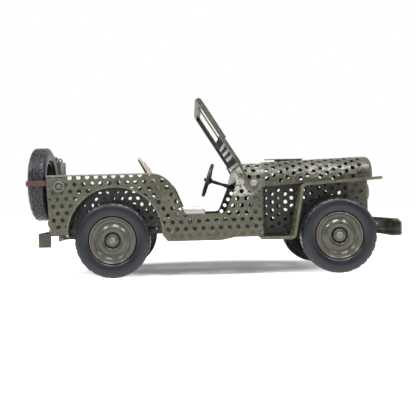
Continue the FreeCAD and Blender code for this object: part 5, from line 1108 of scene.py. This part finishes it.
class ArmyCarStrap(bpy.types.Operator):
    """Make the reddish brown strap round the spare wheel, slightly bowed, with stitched edges"""

    bl_idname = "army_car.strap"
    bl_label = "Strap"

    def execute(self, context):
        low, high = low_high("spare_strap")
        level = (low[2] + high[2]) / 2
        inset = 0.4
        corners = [(high[0], low[1] + inset), (low[0] + inset, low[1] + inset),
                   (low[0] + inset, high[1] - inset), (high[0], high[1] - inset)]
        path = softened([(x, y, level) for x, y in corners], 4.4, 10)
        start = np.linspace(path[0], path[1], 6)[:-1]
        across = np.linspace(path[11], path[12], 16)[1:-1]
        end = np.linspace(path[-2], path[-1], 6)[1:]
        line = np.concatenate([start, path[1:12], across, path[12:-1], end])
        v = np.linspace(-1, 1, 9)
        half = half_size("spare_strap")[2]
        outer = np.stack([0.37 - 0.16 * v**4, v * half], -1)
        inner = np.stack([0.05 * v**2 - 0.37, v[::-1] * half], -1)
        grids = [bar(line, np.concatenate([outer, inner]))]
        fitted("spare_strap_leather", grids, "body", "strap", "strap leather", "spare_strap")
        return {"FINISHED"}


def can_shell(low, high, top):
    """The can's body: a rounded oblong carried up it and drawn in at both ends, with a raised seam. Each
    large face is pressed in where it lies inside its border, off both diagonals and off the hub."""
    half_x, half_y = ((high - low) / 2)[:2]
    tall = top - low[2]
    ring = [(-half_x, 0.0), (-half_x, half_y), (half_x, half_y), (half_x, -half_y), (-half_x, -half_y)]
    ring = softened(ring + ring[:1], 2.6, 5)
    fine = []
    for start, end in zip(ring[:-1], ring[1:]):
        count = max(1, int(np.linalg.norm(end - start) / 0.9))
        fine.append(start + (end - start) * (np.arange(count) / count)[:, None])
    ring = np.concatenate(fine)
    rim = np.array([0, 0.25, 0.8, 1.6])
    z = np.concatenate([rim, np.linspace(2.6, tall - 2.6, 44), tall - rim[::-1]])
    draw = sum(np.interp(level, [*rim, 100], [1.5, 0.9, 0.35, 0, 0]) for level in (z, tall - z))
    across, up = np.meshgrid(ring[:, 1] / half_y, z / (tall / 2) - 1, indexing="xy")
    inside = np.clip((0.84 - np.abs(across)) / 0.06, 0, 1) * np.clip((0.84 - np.abs(up)) / 0.04, 0, 1)
    diagonal = np.minimum(np.abs(across - up), np.abs(across + up))
    hub = np.hypot(across * half_y, up * tall / 2)
    pressed = inside * np.clip((diagonal - 0.13) / 0.07, 0, 1) * np.clip((hub - 4.2) / 1.2, 0, 1)
    pressed = pressed * np.clip((np.abs(ring[:, 0]) - half_x + 0.1) / 0.1, 0, 1)
    scale = 1 - draw[:, None] / np.linalg.norm(ring, axis=1)
    x = ring[:, 0] * scale - np.sign(ring[:, 0]) * 0.75 * pressed
    y = ring[:, 1] * scale
    y = np.clip(y + np.sign(y) * (0.32 * hump(ring[:, 0], 0, 0.45) - 0.35), -half_y, half_y)
    centre = (low + high) / 2
    return tube(np.stack([centre[0] + x, centre[1] + y, low[2] + np.broadcast_to(z[:, None], x.shape)], -1))


class ArmyCarFuelCan(bpy.types.Operator):
    """Make the fuel can, with its pressed sides, welded seam, three grips and clamped cap"""

    bl_idname = "army_car.fuel_can"
    bl_label = "Fuel can"

    def execute(self, context):
        low, high = low_high("fuel_can")
        middle_x = (low[0] + high[0]) / 2
        top = 111.5
        grids = [can_shell(low, high, top)]
        start = low[1] + 14.8
        end = high[1] - 3.3
        for x in (middle_x - 3.6, middle_x, middle_x + 3.6):
            line = [(x, start, top - 0.5), (x, start, top + 3.2), (x, end, top + 3.2), (x, end, top - 0.5)]
            grids.append(bar(softened(line, 1.6, 6), oval(0.78, 0.78), hint=(1, 0, 0)))
        spout = np.array((middle_x, low[1] + 7.0, top))
        cap = [(0, -0.4), (3.4, -0.4), (3.4, 2.4), (3.9, 2.6), (3.9, 3.6), (3.1, 4.3), (0, 4.5)]
        grids.append(turned(softened(cap, 0.4, 3), spout, (0, 0, 1), 40))
        lever = spout + [(0, -3.6, 2.0), (0, -3.6, 4.7), (0, 3.4, 4.7), (0, 4.2, 2.6)]
        grids.append(bar(softened(lever, 1.0, 5), strip(0.9, -0.3, 0.3), hint=(1, 0, 0)))
        how = ("body", "olive_paint", "olive frame", "fuel_can")
        piece = fitted("fuel_can_pressed", grids, *how, sharp=40)
        x, z = points_of(piece).T[[0, 2]]
        mark(piece, "wear", 0.4 * (z > top + 2.2) + 0.3 * (np.abs(x - middle_x) < 0.4) * (z < top))
        return {"FINISHED"}


class ArmyCarLamps(bpy.types.Operator):
    """Make the headlamps and the red tail lamps, each a domed glass in a rolled bezel"""

    bl_idname = "army_car.lamps"
    bl_label = "Lamps"

    def execute(self, context):
        for nodes, way, slot, glass, wall, tall, power in (
            ("headlamps", 1, "lamp_face", "headlamp glass", 1.25, 1.0, 2),
            ("tail_lamps", -1, "lamp_red", "red lamp glass", 0.7, 0.42, 5),
        ):
            low, high = low_high(nodes)
            radius = (high[2] - low[2]) / 2
            depth = high[0] - low[0]
            inner = radius - wall
            bezel = [(inner, 0.0), (radius, 0.0), (radius, depth * 0.7 * tall),
                     (radius - 0.45, (depth - 0.05) * tall), (inner + 0.2, (depth - 0.12) * tall),
                     (inner, depth * 0.6 * tall), (inner, 0.0)]
            far = np.linspace(0, 1, 14)
            dome = np.stack([far * inner, depth * (0.62 + 0.36 * (1 - far**power))], -1)
            dome = np.concatenate([dome, [(inner, 0.05), (0, 0.05)]])
            rims, panes = [], []
            for y in (radius - high[1], high[1] - radius):
                centre = (low[0] if way > 0 else high[0], y, (low[2] + high[2]) / 2)
                rims.append(turned(softened(bezel, 0.3, 3), centre, (way, 0, 0), closed=True))
                panes.append(turned(dome, centre, (way, 0, 0)))
            fitted(f"{nodes}_bezels", rims, "body", "olive_paint", "olive fittings", wear=0.35)
            fitted(f"{nodes}_glasses", panes, "body", slot, glass, nodes)
        return {"FINISHED"}


def mesh_sheet(length, width, hole, thickness, margin):
    """A thin sheet with oval holes in staggered rows. Each hole has its own six-sided cell, whose corners
    it shares with its neighbours; the sheet between is the band from the cell's border to the oval, at both
    faces, with the hole's wall. Border points are held inside the sheet, and a cell whose hole would reach
    the edge is closed at its middle."""
    pitch, row = HOLE_PITCH, HOLE_ROW
    low_y = (row**2 - pitch**2 / 4) / (2 * row)
    high_y = (row**2 + pitch**2 / 4) / (2 * row)
    corners = np.array([(pitch / 2, -low_y), (pitch / 2, low_y), (0, high_y), (-pitch / 2, low_y),
                        (-pitch / 2, -low_y), (0, -high_y)])
    steps = np.arange(4)[None, :, None] / 4
    border = (corners[:, None] + (np.roll(corners, -1, 0) - corners)[:, None] * steps).reshape(-1, 2)
    angle = np.arctan2(border[:, 1], border[:, 0])
    round_hole = np.stack([np.cos(angle) * hole[0] / 2, np.sin(angle) * hole[1] / 2], -1)
    i, j = np.meshgrid(np.arange(-40, 41), np.arange(-20, 21), indexing="ij")
    spots = np.stack([i * pitch + (j % 2) * pitch / 2, j * row + length / 2], -1).reshape(-1, 2)
    x = np.abs(spots[:, 0])
    y = np.abs(spots[:, 1] - length / 2)
    near = (x < width / 2 + pitch / 2) & (y < length / 2 + row * 0.8)
    whole = (x < width / 2 - margin - hole[0] / 2) & (y < length / 2 - margin - hole[1] / 2)
    spots, whole = spots[near], whole[near]
    limits = (-width / 2, 0.0), (width / 2, length)
    outer = np.clip(spots[:, None] + border[None], *limits)
    inner = np.clip(spots[:, None] + round_hole[None] * whole[:, None, None], *limits)
    rings = []
    for level in (-thickness / 2, thickness / 2):
        for flat in (outer, inner):
            rings.append(np.concatenate([flat, np.full(flat.shape[:2] + (1,), level)], -1))
    count = len(border)
    ring = np.arange(count)
    after = (ring + 1) % count
    bands = []
    for first, second in ((0, 1), (1, 3), (3, 2)):
        a, b = first * count, second * count
        bands.append(np.stack([a + ring, a + after, b + after, b + ring], -1))
    faces = np.arange(len(spots))[:, None, None] * 4 * count + np.concatenate(bands)
    return np.stack(rings, 1).reshape(-1, 3), faces.reshape(-1, 4).tolist()


class ArmyCarScreenMesh(bpy.types.Operator):
    """Make the thin mesh below the windscreen's panes, bowed forwards, with its rounded foot"""

    bl_idname = "army_car.screen_mesh"
    bl_label = "Windscreen mesh"

    def execute(self, context):
        length, width = 29.2, 122.6
        flat, faces = mesh_sheet(length, width, (6.2, 4.4), 0.3, 0.6)
        start = SCREEN_PIVOT + SCREEN_UP * 24.0

        def bowed(across, along, out=0):
            """Places of the sheet, bowed by 2.6 (1 - (x / half width)^2) (1 - (y / length)^2)."""
            bow = 2.6 * (1 - (across / (width / 2)) ** 2) * (1 - (along / length) ** 2)
            return start + across * SIDEWAYS + along * SCREEN_UP + (out + bow) * SCREEN_OUT

        foot = bowed(np.linspace(-61.2, 61.2, 41)[:, None], 0.0)
        hem = bar(foot, oval(0.5, 0.5, 10), hint=SCREEN_OUT)
        grids = [(bowed(flat[:, :1], flat[:, 1:2], flat[:, 2:]), faces), hem]
        fitted("windscreen_mesh", grids, "windscreen", "olive_paint", "grey mesh", "windscreen_panel")
        return {"FINISHED"}


class ArmyCarSteeringWheel(bpy.types.Operator):
    """Make the black steering wheel with its round rim, three spokes, hub nut and shaft"""

    bl_idname = "army_car.steering_wheel"
    bl_label = "Steering wheel"

    def execute(self, context):
        down = np.array((math.cos(COLUMN_LEAN), 0, -math.sin(COLUMN_LEAN)))
        up = np.cross(down, SIDEWAYS)
        centre = np.array((REAR_X + 89.4, 35.0, 89.2))
        radius = 16.2
        grids = [turned(oval(1.8, 1.9, 24) + (radius, 0), centre, down, 96, closed=True)]
        for turn in (90, 210, 330):
            way = math.cos(math.radians(turn)) * SIDEWAYS + math.sin(math.radians(turn)) * up
            line = [down * 2.2 + way * 2.0, down * 2.0 + way * 8.0, way * (radius - 0.5)]
            grids.append(bar(softened(centre + line, 4.0, 8), oval(1.25, 0.7, 24), hint=down))
        hub = [(0, -2.4), (1.5, -2.4), (1.8, -2.0), (1.8, -1.4), (3.4, -1.2), (4.1, -0.4), (4.1, 2.4),
               (2.6, 4.2), (1.7, 4.6), (1.7, 12.0), (1.45, 12.4), (1.45, 46.0), (0, 46.0)]
        grids.append(turned(softened(hub, 0.35, 3), centre, down, 40))
        grids.append(nut(centre - down * 2.3, -down, 3.0, 1.6))
        how = ("steering_wheel", "dark_steel", "black steel", "steering_wheel")
        fitted("steering_wheel_moulded", grids, *how)
        return {"FINISHED"}


class ArmyCarScreenTrim(bpy.types.Operator):
    """Make the curved arms of the windscreen and the dark seals along its posts"""

    bl_idname = "army_car.screen_trim"
    bl_label = "Windscreen arms and seals"

    def execute(self, context):
        arms, seals = [], []
        top = 91.2
        join = 25.6
        line = [(-0.6, 26.4), (-1.2, 20.0), (-2.2, 12.0), (-2.7, 6.0), (-2.3, 1.2), (-0.2, -2.6), (2.6, -3.2)]
        line = softened(line, 6.0, 8)
        width = np.interp(line[:, 1], [-3.2, 2.0, 12.0, 26.4], [0.55, 0.7, 0.9, 1.5])[:, None, None]
        for y in (-1, 1):
            across = y * SIDEWAYS
            spot = SCREEN_PIVOT + across * 73.45
            path = spot + line[:, :1] * SCREEN_OUT + line[:, 1:] * SCREEN_UP
            points, faces = bar(path, [(-1, -0.6), (-0.7, 0.6), (0.7, 0.6), (1, -0.6)], hint=-across)
            side = unit(np.cross(-across, np.gradient(path, axis=0)))[:, None]
            part = ((points - path[:, None]) * side).sum(-1, keepdims=True)
            arms.append((points + part * side * (width - 1), faces))
            eye = [(1.35, -0.55), (2.5, -0.55), (2.5, 0.45), (2.3, 0.55), (1.35, 0.55)]
            arms.append(turned(eye, spot, across, 40, closed=True))
            bridge = [spot + SCREEN_UP * join - SCREEN_OUT * 0.6 - across * 0.3,
                      SCREEN_PIVOT + across * 65.2 + SCREEN_UP * join - SCREEN_OUT * 0.2]
            arms.append(bar(bridge, strip(1.4, -0.9, 0.9), hint=SCREEN_OUT))
            for level, low_end, half, place in ((1.62, 47.5, 0.22, 65.6), (-0.35, 24.0, 0.16, 65.9)):
                foot = SCREEN_PIVOT + across * place + SCREEN_OUT * level
                ends = [foot + SCREEN_UP * low_end, foot + SCREEN_UP * top]
                seals.append(bar(ends, strip(half, -0.15, 0.15), hint=-across))
        how = ("windscreen", "olive_paint", "olive frame", "windscreen_arms")
        fitted("windscreen_arms_bent", arms, *how, wear=0.0)
        fitted("windscreen_seals", seals, "windscreen", "dark_steel", "black steel")
        return {"FINISHED"}


class ArmyCarTrim(bpy.types.Operator):
    """Make the doubled sheet behind each sill's lowest holes, the face of the dash, the raised strip on the
    hood, the splash strips under the engine's sides and the thin wires over the seat backs"""

    bl_idname = "army_car.trim"
    bl_label = "Dash face, strips and wires"

    def execute(self, context):
        half, top, bend = 70.7, 99.2, 16.2
        angle = np.linspace(0, np.pi / 2, 9)
        corner = np.stack([half - bend + bend * np.sin(angle), top - bend + bend * np.cos(angle)], -1)
        corner = np.concatenate([corner, [(half, 84.2)]])
        y, z = np.concatenate([corner * (-1, 1), corner[::-1]])[::-1].T
        x = REAR_X + 110.6 + (z - 78.4) * 0.268
        grids = [tube([np.stack([x + depth, y, z], -1) for depth in (0.0, 0.5)])]
        # a pale face over the darker dash, partly painted light
        fitted("dash_face", grids, "body", "olive_paint", "brushed dash")
        low, high = low_high("hood_strip")
        rise = 2.0
        level = high[2] + rise
        line = [(low[0], 0, level), (low[0] + 12, 0, level + 0.1), (high[0], 0, level - 0.1)]
        grids = [bar(line, [(-2.5, -0.45), (2.5, -0.45), (2.5, 0.1), (1.9, 0.4), (-1.9, 0.4), (-2.5, 0.1)])]
        line = [(low[0] + 10, 0, high[2] + 0.4), (high[0] - 1, 0, high[2] + 0.4)]
        grids.append(bar(line, strip(1.0, -1.3, rise - 0.6)))
        fitted("hood_strip_raised", grids, "body", "olive_paint", "olive fittings", "hood_strip", wear=0.3)
        side = low_high("engine_sides")[1][1] - 0.5
        ends = (REAR_X + 137.3, REAR_X + 158.5)
        grids = [bar([(x, y, 37.6) for x in ends], strip(0.4, -5.1, 3.4)) for y in (-side, side)]
        # the splash strips take the darker copy of the paint, as painted shade
        fitted("splash_strips", grids, "body", "olive_paint", "dark inner sheet")
        for side, way in (("right", -1), ("left", 1)):
            y = way * (TUB_SIDE - 1.25)
            line = [(REAR_X + x, y, z) for x, z in ((51.2, 35.9), (98.0, 36.0), (110.0, 38.0), (134.0, 38.0))]
            grids = [bar(softened(line, 4.0, 6), strip(0.25, -3.2, 3.2))]
            fitted(f"sill_doubler_{side}", grids, "body", "olive_paint", "rusty doubler", wear=0.0)
            back = f"seat_back_{side}"
            x = low_high(back)[0][0] - 0.1
            top = low_high(back)[1][2]
            y = middle(back)[1]
            wire = [(x + 2.2, y - 15.0, top - 3.5), (x - 0.3, y - 14.0, top + 1.6),
                    (x - 0.3, y + 14.0, top + 1.6), (x + 2.2, y + 15.0, top - 3.5)]
            grids = [bar(softened(wire, 2.5, 8), oval(0.4, 0.4), hint=(1, 0, 0))]
            fitted(f"seat_wire_{side}", grids, "body", "bare_steel", "bare steel")
        return {"FINISHED"}


def seen_directly(tree):
    """1 for the camera's rays and for mirrored and transmitted ones, and 0 for light that falls on things."""
    path = node(tree, "ShaderNodeLightPath").outputs
    rays = [Number(path[f"Is {kind} Ray"]) for kind in ("Camera", "Glossy", "Transmission")]
    return greatest(rays[0], greatest(rays[1], rays[2]))


def flat_sheet(x, y, z):
    """A flat grid over two of the three directions, of which the third is one number."""
    points = np.stack(np.meshgrid(x, y, z, indexing="ij"), -1)
    rows, columns = [count for count in points.shape[:3] if count > 1]
    return [(points, grid_faces(rows, columns))]


class ArmyCarStage(bpy.types.Operator):
    """Make the pale floor, which glows more away from the car as painted light, the soft lights, the white
    surround and the camera at the photograph's viewpoint"""

    bl_idname = "army_car.stage"
    bl_label = "Stage"

    def execute(self, context):
        scene = context.scene
        looks = scene.army_car_looks
        scene.view_settings.view_transform = "Standard"
        grid = np.linspace(-4000.0, 4000.0, 17)
        floor = make_piece("studio_floor", flat_sheet(grid, grid, 0.0))
        material, place = surface("studio floor", (0.86, 0.86, 0.85), 0.9, {"Specular IOR Level": 0.0})
        tree = material.node_tree
        # painted light: the floor glows for the camera, weakly under the car and fully away from it, so the
        # car's shadow stays under it
        spread = mapped(place, Location=(0, -0.024, 0), Scale=(1, 1.6, 1))
        away = Number(node(tree, "ShaderNodeVectorMath", {0: spread}, operation="LENGTH").outputs["Value"])
        strength = seen_directly(tree) * (between(away, 0.085, 0.165) * 0.85 + 0.14)
        painted_floor_light = node(tree, "ShaderNodeEmission", {"Color": (1, 1, 1, 1), "Strength": strength})
        shader = tree.nodes["Principled BSDF"]
        both = node(tree, "ShaderNodeAddShader", {0: shader.outputs[0], 1: painted_floor_light.outputs[0]})
        tree.links.new(both.outputs[0], tree.nodes["Material Output"].inputs["Surface"])
        floor.data.materials.append(material)
        if floor.data.polygons[0].normal.z < 0:
            floor.data.flip_normals()
        world = bpy.data.worlds.new("surround")
        scene.world = world
        world.use_nodes = True
        background = world.node_tree.nodes["Background"]
        strength = seen_directly(world.node_tree) * (1 - looks.ambient) + looks.ambient
        world.node_tree.links.new(strength.socket, background.inputs["Strength"])
        background.inputs["Color"].default_value = (1, 1, 1, 1)
        for name, place, size, power in (
            ("overhead light", (0.03, -0.5, 1.1), 0.42, looks.key_power),
            ("left light", (-0.6, -0.45, 0.8), 0.22, looks.glint_power),
            ("right light", (0.62, -0.45, 0.8), 0.22, looks.glint_power),
            ("fill light", (-0.1, -1.7, 0.75), 1.1, looks.fill_power),
        ):
            light = bpy.data.lights.new(name, "AREA")
            light.size = size
            light.energy = power
            lamp = bpy.data.objects.new(name, light)
            scene.collection.objects.link(lamp)
            lamp.location = place
            aim = unit(np.array((0, 0, 0.05)) - place)
            lamp.rotation_euler = (math.acos(-aim[2]), 0, math.atan2(aim[1], aim[0]) - math.pi / 2)
        far = 2600.0
        card = make_piece("dark card", flat_sheet(np.linspace(-far, far, 9), -far, np.linspace(0, 2200, 9)))
        dull = {"Specular IOR Level": 0.1}
        card.data.materials.append(surface("dark card", (0.03, 0.03, 0.032), 0.9, dull)[0])
        card.visible_camera = False
        lens = bpy.data.cameras.new("photo camera")
        lens.sensor_width = 36.0
        lens.lens = lens.sensor_width * PHOTO_FOCAL / PHOTO_PIXELS
        lens.shift_x = (PHOTO_PIXELS / 2 - PHOTO_CENTRE[0]) / PHOTO_PIXELS
        lens.shift_y = (PHOTO_CENTRE[1] - PHOTO_PIXELS / 2) / PHOTO_PIXELS
        lens.clip_start = 0.01
        camera = bpy.data.objects.new("photo camera", lens)
        scene.collection.objects.link(camera)
        camera.location = CAMERA_PLACE
        camera.rotation_euler = (math.pi / 2, CAMERA_TILT, 0)
        scene.camera = camera
        return {"FINISHED"}


STEPS = (ArmyCarFinishes, ArmyCarTyres, ArmyCarRims, ArmyCarScrews, ArmyCarSeats, ArmyCarStrap,
         ArmyCarFuelCan, ArmyCarLamps, ArmyCarScreenMesh, ArmyCarScreenTrim, ArmyCarSteeringWheel,
         ArmyCarTrim, ArmyCarStage)


class ArmyCarPanel(bpy.types.Panel):
    """Lists the car's settings and the steps that make its looks"""

    bl_idname = "ARMY_CAR_PT_looks"
    bl_label = "Army car"
    bl_space_type = "VIEW_3D"
    bl_region_type = "UI"
    bl_category = "Army car"

    def draw(self, context):
        for name in ArmyCarLooks.__annotations__:
            self.layout.prop(context.scene.army_car_looks, name)
        for step in STEPS:
            self.layout.operator(step.bl_idname)


def register():
    """Registers the settings, the steps and the panel."""
    for item in (ArmyCarLooks, *STEPS, ArmyCarPanel):
        bpy.utils.register_class(item)
    bpy.types.Scene.army_car_looks = bpy.props.PointerProperty(type=ArmyCarLooks)


def unregister():
    """Takes them out again."""
    del bpy.types.Scene.army_car_looks
    for item in (ArmyCarPanel, *reversed(STEPS), ArmyCarLooks):
        bpy.utils.unregister_class(item)


def main():
    """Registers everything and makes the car's looks in order."""
    register()
    for step in STEPS:
        getattr(bpy.ops.army_car, step.bl_idname.split(".")[1])()


if __name__ == "__main__":
    main()
